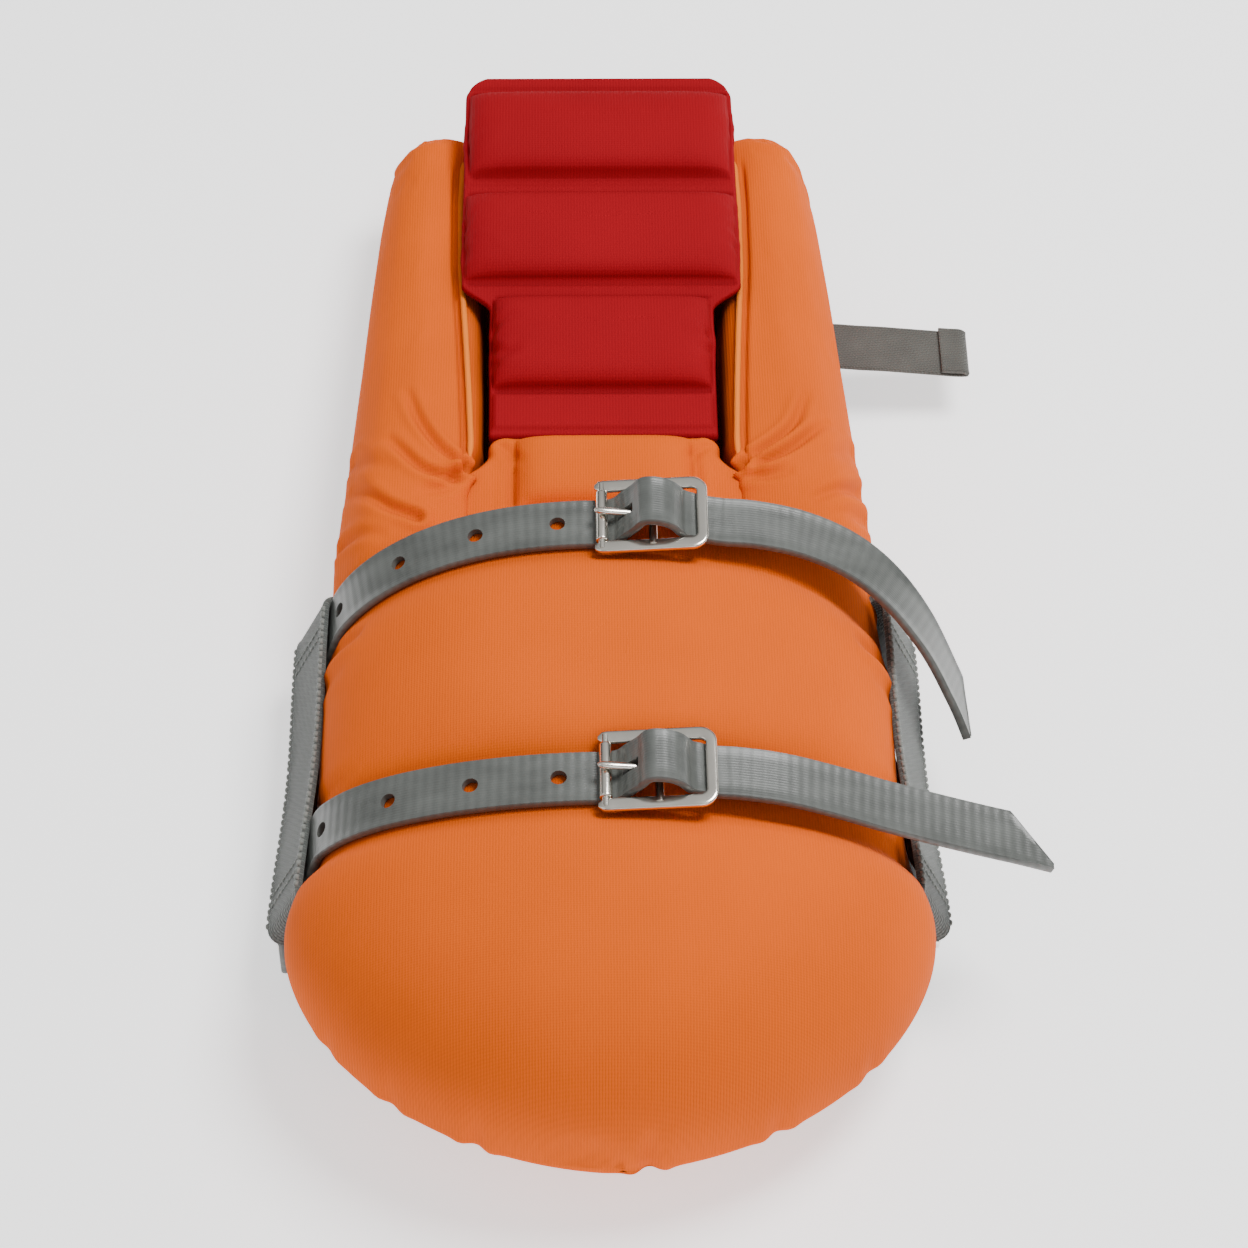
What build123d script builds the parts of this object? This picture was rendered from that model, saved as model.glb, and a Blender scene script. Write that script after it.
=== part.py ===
"""Long strap-on knee pad for roof work: a padded knee cushion on a rubber sole, held by two
buckled straps, with a ribbed shin pad between two folding side wings.

Millimetres. The pad lies on its sole, so +Z is towards the leg. +Y runs from the knee end to
the ankle end and +X to the right. The origin is on the ground face of the sole.
"""

import os
from math import cos, radians, sin, sqrt, tan

from build123d import *

os.makedirs("parts", exist_ok=True)

# ---- Driving dimensions -------------------------------------------------------------------
TOE_Y = -179.0  # knee end of the cushion
TOE_CENTRE_Y = -97.0  # the knee end is half an ellipse about this point
TOE_HALF_WIDTH = 98.0
WING_END_Y = 218.0
SIDE_POINTS = [(88.0, -5.0), (83.5, 60.0), (78.0, 148.0), (74.0, 188.0)]  # plan outline
CORNER_R = 16.0
END_TAPER = 3.5  # the last of each side narrows by this

TREAD_Z = 2.5  # underside of the sole between its tread bars
RIM_Z = 20.0
SOLE_WALL = 3.0
SOLE_SIDE_INSET = 1.5
SOLE_TOE_INSET = 26.0  # the cushion overhangs the sole this far at the knee
SOLE_END_INSET = 5.0
BOTTOM_RADIUS = 6.0
TREAD_WIDTH = 10.0
TREAD_PITCH = 20
TREAD_FIRST_Y = -140
TREAD_LAST_Y = 180

FLOOR_Z = 38.0  # floor of the shin channel
FLOOR_HALF_WIDTH = 35.5
FIT = 0.4  # clearance between soft neighbours
COVER = 2.2  # knitted cover with its bonded backing
CORE_FIT = 0.1  # clearance between a cover and its foam
RIVET_ROOM = 16.0  # the liner is cut away this far round each rivet

CUSHION_END_Y = 24.0
CUSHION_TOP_Z = 83.0
CUSHION_WIDEST_Z = 38.0
CUSHION_TUCK = 6.0  # its sides come in by this down to the sole
TOE_TUCK = 14.0  # and so does its toe
TOE_NOSE_Z = 34.0
TOE_SHOULDER = (22.0, 62.0)  # back from the toe, and height
CROWN_LINE = [(-108.0, 79.0), (-40.0, CUSHION_TOP_Z), (10.0, 81.0)]  # (y, z)
CUSHION_END_Z = 68.0

STRAP_WIDTH = 18.0
STRAP_T = 2.4
LAYER = STRAP_T + 0.25  # pitch of strap layers that lie on each other
STRAP_ROOM = 1.0  # beside a strap, in the groove it lies in
CLEARANCE_DEPTH = 24.0
ARCH_END_X = 56  # between these, a strap's arch is drawn by points one step apart
ARCH_STEP = 8
FOOT_POINTS = 3  # the points of a flank that lie below the cushion
HOLE_R = 2.4
HOLE_PITCH = 25.4
HOLE_COUNT = 4
FIRST_HOLE_X = -14.5

SIDE_TOP_Z = 50.0  # the straps run straight down the pad's sides between these heights
SIDE_LOW_Z = 22.0
SIDE_LEAN = 0.42  # x per z of those runs
SIDE_SHEAR = 0.33  # y per z of those runs
ARCH_Z = 40.0  # the arch over the cushion is half an ellipse about this height
FOOT_Z = 5.5  # lower end of a strap, on the wall of the sole
RIVET_Z = 10.5
RIVET_R = 2.0
RIVET_HEAD_R = 3.8
RIVET_HEAD_T = 1.0
PIN_FIT = 0.05  # between a pin and its hole
WASHER_R = 4.6
WASHER_SEAT = 1.0  # the flat seat cut for a washer lies this far inside the sole's wall
WASHER_FIT = 0.4
WASHER_Z = -STRAP_T / 2 - SOLE_WALL - WASHER_SEAT  # seat, from the middle of the strap

ROLLER_X = -1.5
BUCKLE_X = 14.0  # centre bar
END_BAR_X = 29.0
ROLLER_LIFT = 3.5  # bar centres above the middle of the strap that lies on the cushion
END_BAR_LIFT = 8.2
BUCKLE_HALF_WIDTH = 13.9
BUCKLE_INNER = 9.7
PLATE_T = 1.8
END_BAR_HALF = 1.6
BUCKLE_CORNER_R = 3.5
ROLLER_R = 1.9
BAR_R = 1.2
BAR_SEAT = 2.0  # a bar's ends sit this deep in the frame's sides
CENTRE_BAR_R = 1.4
PRONG_R = 1.1
PRONG_REACH = 2.5  # how far the prong passes the roller's centre
PRONG_FIT = 0.5  # room under the prong in the straps
PRONG_HEADROOM = (1.6, 2.9)  # and over it, in the anchor strap and in the perforated strap
SLOT_HALF_WIDTH = 1.6
STRAP_SLOT = (3.5, 10.5)  # where the prong passes through the perforated strap
ANCHOR_SLOT_X = 8.0
FOLD_BACK_X = 42.0
TAIL_X = 33.0  # a loose strap end lifts from here
TAIL_GAP = 0.4
TIP_CUT = 14.0

WEB_WIDTH = 26.0
WEB_T = 2.0
WEB_GAP = 2.7  # from the middle of a strap to the webbing looped round it
WEB_LOOP_LENGTH = 34.0
WEB_MID_Z = 34.0
WEB_ROOM = 4.0  # above and below it, in the hollow it lies in
WEB_ROOM_REACH = 60.0
WEB_END_ROOM = 19.0  # from a strap's centre line to the end of its loop

SIDE_PAD_START_Y = 25.0
SIDE_PAD_X = 43.0
SIDE_PAD_TOP_Z = 60.0
SIDE_PAD_RUN = 20.0  # across its sloping outer top
SIDE_PAD_TUCK = 4.0
SIDE_PAD_EDGE_R = 5.0
WING_START_Y = 58.0
WING_HINGE = (58.0, 20.6)  # (x, z) of the line a wing folds about
WING_RELIEF = radians(12)  # slope of a wing's underside away from that line
WING_INNER_X = 38.8
WING_SLOPE = (10.0, 5.0)  # the outer top slopes down by these before its side
WING_TUCK = 2.0
WING_SEAM_X = 46.0
WING_CREST_X = 54.0
WING_SECTIONS = [  # (y, outer x, seam z, crest z)
    (WING_START_Y, 83.5, 56.0, 61.0),
    (115.0, 79.8, 50.0, 54.0),
    (165.0, 76.0, 46.0, 50.0),
    (216.0, 68.0, 40.0, 43.0),
]

TAB_TOP_Y = 68.5
TAB_TOP_Z = 56.0
TAB_SIDE = [(41.0, SIDE_PAD_START_Y), (41.0, 54.0), (37.5, 57.0), (35.0, TAB_TOP_Y)]
TAB_CORNER_R = 6.0
TAB_EDGE_R = 3.0
TAB_BAR = (28.0, 34.0, 62.0, 61.0)  # half-width, start y, end y and top z of its raised bar
TAB_BAR_CORNER_R = 5.0
TAB_BAR_EDGE_R = 2.5

SHIN_START_Y = 71.0
SHIN_END_Y = 229.0
SHIN_FOAM_END_Y = 219.0
SHIN_HALF_WIDTH = 37.5
SHIN_WIDE_HALF = 46.5
SHIN_NECK_Y = (127.0, 137.0)  # where the narrow part widens
SHIN_BACKING_Z = 51.0
SHIN_BACKING_T = 2.6
RIB_HEIGHT = 6.4
RIBS = {  # start y, end y, half-width
    "shin_rib_lower": (93.0, 129.0, 35.8),
    "shin_rib_middle": (137.0, 174.0, 45.0),
    "shin_rib_upper": (186.0, 220.0, 44.5),
}
BAND_Y = (73.0, 90.0)
BAND_HEIGHT = 1.4

ANKLE_Y = 139.0
ANKLE_Z = 21.3
ANKLE_WIDTH = 20.0
ANKLE_T = 1.5
ANKLE_ROOT_X = 70.0
ANKLE_HINGE_X = 80.3
ANKLE_TIP_X = 125.0
ANKLE_DROOP = radians(6)
ANKLE_FOLD = 9.0


def save(part, name):
    part.label = name
    export_step(part, f"parts/{name}.step")


# ---- Strap paths --------------------------------------------------------------------------
class Ring:
    """The path of one strap round the pad, through the middle of its thickness."""

    def __init__(self, crown_y, crown_z, sweep, side_x, foot_x):
        self.crown_y = crown_y
        self.rise = crown_z - ARCH_Z
        self.sweep = sweep  # how far the strap's sides lie towards the knee from its crown
        self.foot_x = foot_x
        self.top_x = side_x - SIDE_LEAN * (SIDE_TOP_Z - SIDE_LOW_Z)
        self.arch_x = self.top_x / sqrt(1 - ((SIDE_TOP_Z - ARCH_Z) / self.rise) ** 2)
        self.foot_y = self.side(SIDE_LOW_Z).Y - 2.0

    def arch(self, x):
        """Height of the strap that lies directly on the cushion."""
        return ARCH_Z + self.rise * sqrt(1 - (x / self.arch_x) ** 2)

    def y(self, x):
        return self.crown_y - self.sweep * abs(x / self.arch_x) ** 3

    def over(self, x, lift=0.0):
        """Point of the arch, or of a layer lifted off it."""
        return Vector(x, self.y(x), self.arch(x) + lift)

    def side(self, z):
        """Point of the straight run down the right side."""
        drop = SIDE_TOP_Z - z
        return Vector(self.top_x + SIDE_LEAN * drop, self.y(self.top_x) - SIDE_SHEAR * drop, z)

    def flank(self):
        """Right side, from near the crown of the cushion down to the strap's foot."""
        low = self.side(SIDE_LOW_Z)
        points = [self.over(self.arch_x * share) for share in (0.72, 0.8, 0.87, 0.93)]
        points += [self.side(z) for z in (SIDE_TOP_Z, 42.0, 32.0, SIDE_LOW_Z)]
        points.append(Vector((low.X + 2 * self.foot_x) / 3, low.Y - 1.5, 17.5))
        points += [Vector(self.foot_x, self.foot_y, z) for z in (15.0, FOOT_Z)]
        return points

    def left_flank(self):
        """Left side, from the strap's foot up to the cushion."""
        return [Vector(-p.X, p.Y, p.Z) for p in reversed(self.flank())]

    def bar_z(self, x):
        """Height of the buckle's bars, which lie on one slanted line."""
        start = self.arch(ROLLER_X) + ROLLER_LIFT
        end = self.arch(END_BAR_X) + END_BAR_LIFT
        return start + (end - start) * (x - ROLLER_X) / (END_BAR_X - ROLLER_X)

    def prong_direction(self):
        """From the centre bar to where the prong rests on the roller."""
        rest_z = self.bar_z(ROLLER_X) + ROLLER_R + PRONG_R + 0.15
        return Vector(ROLLER_X - BUCKLE_X, 0, rest_z - self.bar_z(BUCKLE_X)).normalized()


UPPER = Ring(crown_y=13.0, crown_z=81.5, sweep=11.0, side_x=94.5, foot_x=89.5)
LOWER = Ring(crown_y=-82.0, crown_z=82.5, sweep=-2.5, side_x=98.0, foot_x=98.0)
RINGS = {"upper": UPPER, "lower": LOWER}
TAILS = {  # middle line of each loose strap end, from the buckle to the tip
    "upper": [(45, 12.4, 81.8), (60, 11.2, 78.3), (75, 7.2, 72.8), (87, 0.6, 65.8),
              (98, -9.0, 55.5), (107, -19.5, 42.0), (113, -27.0, 30.5)],
    "lower": [(50, -82.6, 82.2), (65, -83.5, 77.2), (80, -84.8, 71.5), (97, -86, 65.5),
              (114, -87, 59.8), (130, -87.5, 54.5)],
}


def strap_loft(points, width=STRAP_WIDTH, thickness=STRAP_T, outward=0.0):
    """Flat strap through the points, which may lie outward of them."""
    with BuildPart() as strap:
        for index, point in enumerate(points):
            before = points[max(index - 1, 0)]
            after = points[min(index + 1, len(points) - 1)]
            run = (after - before).normalized()
            across = (Vector(0, 1, 0) - run * run.Y).normalized()
            with BuildSketch(Plane(origin=point, x_dir=across, z_dir=run)):
                with Locations((0, outward)):
                    Rectangle(width, thickness)
        loft(ruled=True)
    return strap.part


def hole_planes(ring):
    """Planes on the strap at its adjusting holes, one pitch apart along the arch."""
    planes = []
    step = 0.5
    here, walked = ring.over(FIRST_HOLE_X), HOLE_PITCH
    while len(planes) < HOLE_COUNT:
        ahead = ring.over(here.X - step)
        walked += (ahead - here).length
        if walked >= HOLE_PITCH:
            run = (ahead - here).normalized()
            planes.append(Plane(origin=ahead, z_dir=run.cross(Vector(0, 1, 0))))
            walked = 0.0
        here = ahead
    return planes


def rivet_planes():
    """A plane at each rivet, on the middle of the strap, with z pointing out of the pad."""
    planes = []
    for ring in RINGS.values():
        for side in (-1, 1):
            origin = (side * ring.foot_x, ring.foot_y, RIVET_Z)
            planes.append(Plane(origin=origin, z_dir=(side, 0, 0)))
    return planes


# ---- Sole ---------------------------------------------------------------------------------
def plan_outline(side_inset, toe_inset, end_inset):
    """Plan outline of the pad, inset by different amounts."""
    half_width = TOE_HALF_WIDTH - side_inset
    toe = TOE_CENTRE_Y - TOE_Y - toe_inset
    end = WING_END_Y - end_inset
    sides = [(x - side_inset, y) for x, y in SIDE_POINTS]
    corner = (sides[-1][0] - END_TAPER, end)
    with BuildSketch() as outline:
        with BuildLine():
            EllipticalCenterArc((0, TOE_CENTRE_Y), half_width, toe, 270, arc_size=90)
            Spline((half_width, TOE_CENTRE_Y), *sides, tangents=((0, 1), (-0.12, 1)))
            Polyline(sides[-1], corner, (0, end))
            mirror(about=Plane.YZ)
        make_face()
        fillet(outline.vertices().filter_by(lambda v: v.Y > end - 1 and abs(v.X) > 1), CORNER_R)
    return outline.sketch


def tray_form(inset):
    """Outside of the sole's tray when inset is 0, a body that lies in it when positive."""
    with BuildPart() as form:
        with BuildSketch(Plane.XY.offset(TREAD_Z + inset)):
            add(plan_outline(SOLE_SIDE_INSET + inset, SOLE_TOE_INSET + inset,
                             SOLE_END_INSET + inset))
        extrude(amount=RIM_Z - TREAD_Z - inset)
        fillet(form.faces().sort_by(Axis.Z)[0].edges(), BOTTOM_RADIUS - inset)
    return form.part


def make_sole():
    with BuildPart() as sole:
        add(tray_form(0))
        add(tray_form(SOLE_WALL), mode=Mode.SUBTRACT)
        with Locations(*rivet_planes()):
            Cylinder(RIVET_R + PIN_FIT, RIVET_ROOM, mode=Mode.SUBTRACT)
        for plane in rivet_planes():
            with BuildSketch(plane.offset(WASHER_Z)):
                Circle(WASHER_R + WASHER_FIT)
            extrude(amount=-RIVET_ROOM / 2, mode=Mode.SUBTRACT)
    save(sole.part, "sole_shell")


def make_tread():
    with BuildPart() as tread:
        for y in range(TREAD_FIRST_Y, TREAD_LAST_Y + 1, TREAD_PITCH):
            half = 44.0 if y == TREAD_FIRST_Y else 64.0
            with BuildSketch():
                with Locations((0, y)):
                    RectangleRounded(2 * half, TREAD_WIDTH, 4.0)
            extrude(amount=TREAD_Z)
    save(tread.part, "sole_tread")


# ---- Liner --------------------------------------------------------------------------------
def make_liner():
    """Foam that fills the sole's tray, with the raised floor of the shin channel."""
    gap = SOLE_WALL + FIT
    with BuildPart() as liner:
        add(tray_form(gap))
        floor_end_y = WING_END_Y - SOLE_END_INSET - gap
        with BuildSketch(Plane.XY.offset(RIM_Z)):
            with Locations((0, (SIDE_PAD_START_Y + floor_end_y) / 2)):
                Rectangle(2 * FLOOR_HALF_WIDTH, floor_end_y - SIDE_PAD_START_Y)
        extrude(amount=FLOOR_Z - RIM_Z)
        with Locations(*rivet_planes()):
            Box(RIVET_ROOM, RIVET_ROOM, RIVET_ROOM, mode=Mode.SUBTRACT)
    save(liner.part, "liner_base")


# ---- Knee cushion -------------------------------------------------------------------------
def cushion_form(inset):
    """Knee cushion inside its cover when inset is 0, its foam when inset is positive."""
    bottom = RIM_Z + FIT + inset
    end_y = CUSHION_END_Y - inset
    half = TOE_HALF_WIDTH - inset
    rise = CUSHION_TOP_Z - CUSHION_WIDEST_Z - inset
    with BuildPart() as form:
        with BuildSketch(Plane.XY.offset(bottom)):
            add(plan_outline(inset, inset, inset))
        extrude(amount=CUSHION_TOP_Z)
        with BuildSketch(Plane.XZ):
            with BuildLine():
                EllipticalCenterArc((0, CUSHION_WIDEST_Z), half, rise, 0, arc_size=180)
                foot = half - CUSHION_TUCK
                Polyline((-half, CUSHION_WIDEST_Z), (-foot, bottom), (foot, bottom),
                         (half, CUSHION_WIDEST_Z))
            make_face()
        extrude(amount=-WING_END_Y, both=True, mode=Mode.INTERSECT)
        toe_y = TOE_Y + inset
        toe_foot = (toe_y + TOE_TUCK, bottom)
        shoulder = (toe_y + TOE_SHOULDER[0], TOE_SHOULDER[1] - inset)
        end_top = (end_y, CUSHION_END_Z - inset)
        with BuildSketch(Plane.YZ):
            with BuildLine():
                Line((end_y, bottom), toe_foot)
                Spline(toe_foot, (toe_y, TOE_NOSE_Z), shoulder,
                       *[(y, z - inset) for y, z in CROWN_LINE], end_top)
                Line(end_top, (end_y, bottom))
            make_face()
        extrude(amount=TOE_HALF_WIDTH + 1, both=True, mode=Mode.INTERSECT)
    return form.part


def strap_clearance(ring, inset):
    """Room for a strap and whatever lies on it, as far out as the cushion reaches."""
    arch = [ring.over(x) for x in range(-ARCH_END_X, ARCH_END_X + 1, ARCH_STEP)]
    return strap_loft(ring.left_flank()[FOOT_POINTS:] + arch + ring.flank()[:-FOOT_POINTS],
                      STRAP_WIDTH + 2 * (STRAP_ROOM + inset), CLEARANCE_DEPTH,
                      CLEARANCE_DEPTH / 2 - STRAP_T / 2 - FIT - inset)


def webbing_plane():
    """Plane across the right webbing: x runs to the knee, y out of the pad, z up it."""
    upper, lower = UPPER.side(WEB_MID_Z), LOWER.side(WEB_MID_Z)
    along = (lower - upper).normalized()
    up_lean = Vector(-SIDE_LEAN, 0, 1).normalized()
    outward = up_lean.cross(along).normalized()
    return Plane(origin=(upper + lower) / 2, x_dir=along, z_dir=along.cross(outward))


def webbing_length():
    return (LOWER.side(WEB_MID_Z) - UPPER.side(WEB_MID_Z)).length + 2 * WEB_END_ROOM


def webbing_clearance(inset):
    """Room for both side webbings and everything outside them."""
    inner_y = -(WEB_GAP + WEB_T + FIT + inset)
    with BuildPart() as room:
        with BuildSketch(webbing_plane()):
            with Locations((0, inner_y + WEB_ROOM_REACH / 2)):
                Rectangle(webbing_length() + 2 * STRAP_ROOM, WEB_ROOM_REACH)
        extrude(amount=WEB_WIDTH / 2 + WEB_ROOM, both=True)
        mirror(about=Plane.YZ)
    return room.part


def make_knee_cushion():
    clearances = {}
    for inset in (0, COVER, COVER + CORE_FIT):
        clearances[inset] = [strap_clearance(ring, inset) for ring in RINGS.values()]
        clearances[inset].append(webbing_clearance(inset))

    def shaped(inset):
        with BuildPart() as shape:
            add(cushion_form(inset))
            for room in clearances[inset]:
                add(room, mode=Mode.SUBTRACT)
        return shape.part

    hollow, core = shaped(COVER), shaped(COVER + CORE_FIT)
    with BuildPart() as cover:
        add(shaped(0))
        add(hollow, mode=Mode.SUBTRACT)
    save(cover.part, "knee_cushion_cover")
    save(core, "knee_cushion_foam")


# ---- Side pads and wings ------------------------------------------------------------------
def save_pair(part, name):
    """Save a right-hand piece and its mirror image."""
    save(part, f"right_{name}")
    with BuildPart() as left:
        mirror(part, about=Plane.YZ)
    save(left.part, f"left_{name}")


def outline_x(y):
    """Half-width of the pad between the straps and the wings."""
    (x0, y0), (x1, y1) = SIDE_POINTS[0], SIDE_POINTS[1]
    return x0 + (x1 - x0) * (y - y0) / (y1 - y0)


def make_side_pads():
    end_y = WING_START_Y - 2 * FIT
    with BuildPart() as pad:
        for y in (SIDE_PAD_START_Y, end_y):
            outer = outline_x(y)
            with BuildSketch(Plane.XZ.offset(-y)):
                with BuildLine():
                    Polyline((SIDE_PAD_X, RIM_Z + FIT), (SIDE_PAD_X, SIDE_PAD_TOP_Z),
                             (outer - SIDE_PAD_RUN, SIDE_PAD_TOP_Z), (outer, CUSHION_WIDEST_Z),
                             (outer - SIDE_PAD_TUCK, RIM_Z + FIT), close=True)
                make_face()
        loft(ruled=True)
        top_edges = pad.edges().filter_by(lambda e: e.center().Z > SIDE_PAD_TOP_Z - 1)
        fillet(top_edges, SIDE_PAD_EDGE_R)
    save_pair(pad.part, "side_pad")


def wing_form(inset):
    """Right wing inside its cover when inset is 0, its foam when inset is positive."""
    hinge_x, hinge_z = WING_HINGE
    with BuildPart() as form:
        for index, (y, outer, seam_z, crest_z) in enumerate(WING_SECTIONS):
            shift = inset if index == 0 else -inset if index == len(WING_SECTIONS) - 1 else 0
            inner_z = hinge_z + (hinge_x - WING_INNER_X) * tan(WING_RELIEF)
            outer_z = hinge_z + (outer - WING_TUCK - hinge_x) * tan(WING_RELIEF)
            with BuildSketch(Plane.XZ.offset(-y - shift)):
                with BuildLine():
                    Polyline((WING_INNER_X, inner_z), (WING_SEAM_X, seam_z),
                             (WING_CREST_X, crest_z), (outer - WING_SLOPE[0], crest_z - WING_SLOPE[1]),
                             (outer, (crest_z + outer_z) / 2), (outer - WING_TUCK, outer_z),
                             (hinge_x, hinge_z), close=True)
                make_face()
                if inset:
                    offset(amount=-inset, kind=Kind.INTERSECTION)
        loft(ruled=True)
    return form.part


def make_wings():
    hollow, core = wing_form(COVER), wing_form(COVER + CORE_FIT)
    with BuildPart() as cover:
        add(wing_form(0))
        add(hollow, mode=Mode.SUBTRACT)
    save_pair(cover.part, "wing_cover")
    save_pair(core, "wing_foam")


def make_tab():
    """Padded tab over the lower edge of the shin pad, with a raised bar across it."""
    bar_half, bar_start, bar_end, bar_top = TAB_BAR
    with BuildPart() as tab:
        with BuildSketch(Plane.XY.offset(FLOOR_Z + FIT)):
            with BuildLine():
                Polyline((0, SIDE_PAD_START_Y), *TAB_SIDE, (0, TAB_TOP_Y))
                mirror(about=Plane.YZ)
            make_face()
            fillet(vertices().filter_by(lambda v: v.Y == TAB_TOP_Y and v.X != 0), TAB_CORNER_R)
        extrude(amount=TAB_TOP_Z - FLOOR_Z - FIT)
        fillet(tab.faces().sort_by(Axis.Z)[-1].edges(), TAB_EDGE_R)
        with BuildSketch(Plane.XY.offset(TAB_TOP_Z - 1)):
            with Locations((0, (bar_start + bar_end) / 2)):
                RectangleRounded(2 * bar_half, bar_end - bar_start, TAB_BAR_CORNER_R)
        extrude(amount=bar_top - TAB_TOP_Z + 1)
        fillet(tab.faces().sort_by(Axis.Z)[-1].edges(), TAB_BAR_EDGE_R)
    save(tab.part, "ankle_tab")


# ---- Shin pad -----------------------------------------------------------------------------
def centred_bar(start_y, end_y, half_width, base_z, height, corner, edge):
    with BuildPart() as bar:
        with BuildSketch(Plane.XY.offset(base_z)):
            with Locations((0, (start_y + end_y) / 2)):
                RectangleRounded(2 * half_width, end_y - start_y, corner)
        extrude(amount=height)
        fillet(bar.faces().sort_by(Axis.Z)[-1].edges(), edge)
    return bar.part


def make_shin_pad():
    foam_z = FLOOR_Z + FIT
    foam = centred_bar(SHIN_START_Y, SHIN_FOAM_END_Y, SHIN_HALF_WIDTH, foam_z,
                       SHIN_BACKING_Z - foam_z, 4.0, 1.0)
    save(foam, "shin_pad_foam")
    neck_start, neck_end = SHIN_NECK_Y
    with BuildPart() as backing:
        with BuildSketch(Plane.XY.offset(SHIN_BACKING_Z)):
            with BuildLine():
                Polyline((0, SHIN_START_Y), (SHIN_HALF_WIDTH, SHIN_START_Y),
                         (SHIN_HALF_WIDTH, neck_start), (SHIN_WIDE_HALF, neck_end),
                         (SHIN_WIDE_HALF - 2, SHIN_END_Y), (0, SHIN_END_Y))
                mirror(about=Plane.YZ)
            make_face()
            fillet(vertices().filter_by(lambda v: v.Y == SHIN_END_Y and v.X != 0), 12.0)
        extrude(amount=SHIN_BACKING_T)
    save(backing.part, "shin_pad_backing")
    top = SHIN_BACKING_Z + SHIN_BACKING_T
    for name, (start, end, half) in RIBS.items():
        save(centred_bar(start, end, half, top, RIB_HEIGHT, 7.0, 5.5), name)
    start, end = BAND_Y
    save(centred_bar(start, end, SHIN_HALF_WIDTH - 1.5, top, BAND_HEIGHT, 2.0, 1.0), "shin_band")


# ---- Straps -------------------------------------------------------------------------------
def cut_holes(planes):
    with Locations(*planes):
        Cylinder(HOLE_R, 3 * STRAP_T, mode=Mode.SUBTRACT)


def cut_rivet_holes():
    with Locations(*rivet_planes()):
        Cylinder(RIVET_R + PIN_FIT, 4 * STRAP_T, mode=Mode.SUBTRACT)


def cut_prong_slot(ring, start_x, end_x, headroom):
    """Opening through a strap for the prong over its whole swing."""
    low = ring.bar_z(BUCKLE_X) - PRONG_R - PRONG_FIT
    high = ring.bar_z(BUCKLE_X) + PRONG_R + headroom
    with Locations(((start_x + end_x) / 2, ring.crown_y, (low + high) / 2)):
        Box(end_x - start_x, 2 * SLOT_HALF_WIDTH, high - low, mode=Mode.SUBTRACT)


def make_buckled_strap(ring, name):
    """Perforated strap: from the left foot, through the buckle, to where its tail lifts."""
    wrap = CENTRE_BAR_R + STRAP_T + LAYER + 0.3
    top = ring.bar_z(BUCKLE_X) + wrap - ring.arch(BUCKLE_X)
    through = [(-8, 0), (ROLLER_X, 0), (2.5, 1.2), (5.5, 4.6), (8.5, 8.0), (11, top - 0.6),
               (BUCKLE_X, top), (17.5, top - 0.6), (20, top - 1.9), (23, 6.9),
               (26, 2 * LAYER + 0.6), (END_BAR_X, 2 * LAYER), (TAIL_X, 2 * LAYER)]
    arch = [ring.over(x) for x in range(-ARCH_END_X, -ARCH_STEP, ARCH_STEP)]
    with BuildPart() as strap:
        add(strap_loft(ring.left_flank() + arch + [ring.over(x, lift) for x, lift in through]))
        cut_holes(hole_planes(ring))
        cut_rivet_holes()
        cut_prong_slot(ring, *STRAP_SLOT, PRONG_HEADROOM[1])
    save(strap.part, f"{name}_strap")


def make_tail(ring, name):
    """Loose end of the perforated strap, beyond the buckle."""
    start = ring.over(TAIL_X + TAIL_GAP, 2 * LAYER + 0.1)
    points = [start, ring.over(TAIL_X + 3, 2 * LAYER + 0.3)]
    points += [Vector(*point) for point in TAILS[name]]
    run = (points[-1] - points[-2]).normalized()
    across = (Vector(0, 1, 0) - run * run.Y).normalized()
    half = STRAP_WIDTH / 2
    with BuildPart() as tail:
        add(strap_loft(points))
        with BuildSketch(Plane(origin=points[-1], x_dir=run, z_dir=run.cross(across))):
            with BuildLine():
                Polyline((-TIP_CUT, half + 1), (1, half + 1), (1, 0.5 - half), close=True)
            make_face()
        extrude(amount=6, both=True, mode=Mode.SUBTRACT)
    save(tail.part, f"{name}_strap_tail")


def make_anchor_strap(ring, name):
    """Plain strap: its end folds round the centre bar and lies under itself."""
    centre = Vector(BUCKLE_X, ring.crown_y, ring.bar_z(BUCKLE_X))
    radius = CENTRE_BAR_R + 0.15 + STRAP_T / 2
    wrap = []
    for degrees in range(-60, -301, -30):
        angle = radians(degrees)
        wrap.append(centre + Vector(radius * cos(angle), 0, radius * sin(angle)))
    fold_back = [ring.over(x, lift) for x, lift in ((FOLD_BACK_X, 0), (34, 0), (26, 0), (20, 0.6))]
    above = [(18.5, 6.1), (22, 4.0), (25.5, LAYER + 0.15), (END_BAR_X, LAYER), (36, LAYER),
             (44, LAYER), (52, 0.2)]
    main = [ring.over(x, lift) for x, lift in above]
    with BuildPart() as strap:
        add(strap_loft(fold_back + wrap + main + ring.flank()))
        cut_rivet_holes()
        with Locations(Plane(origin=centre, z_dir=(0, 1, 0))):
            Cylinder(radius + STRAP_T / 2 - 0.6, 2 * SLOT_HALF_WIDTH, mode=Mode.SUBTRACT)
        cut_prong_slot(ring, ANCHOR_SLOT_X, BUCKLE_X, PRONG_HEADROOM[0])
    save(strap.part, f"{name}_anchor_strap")


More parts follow.
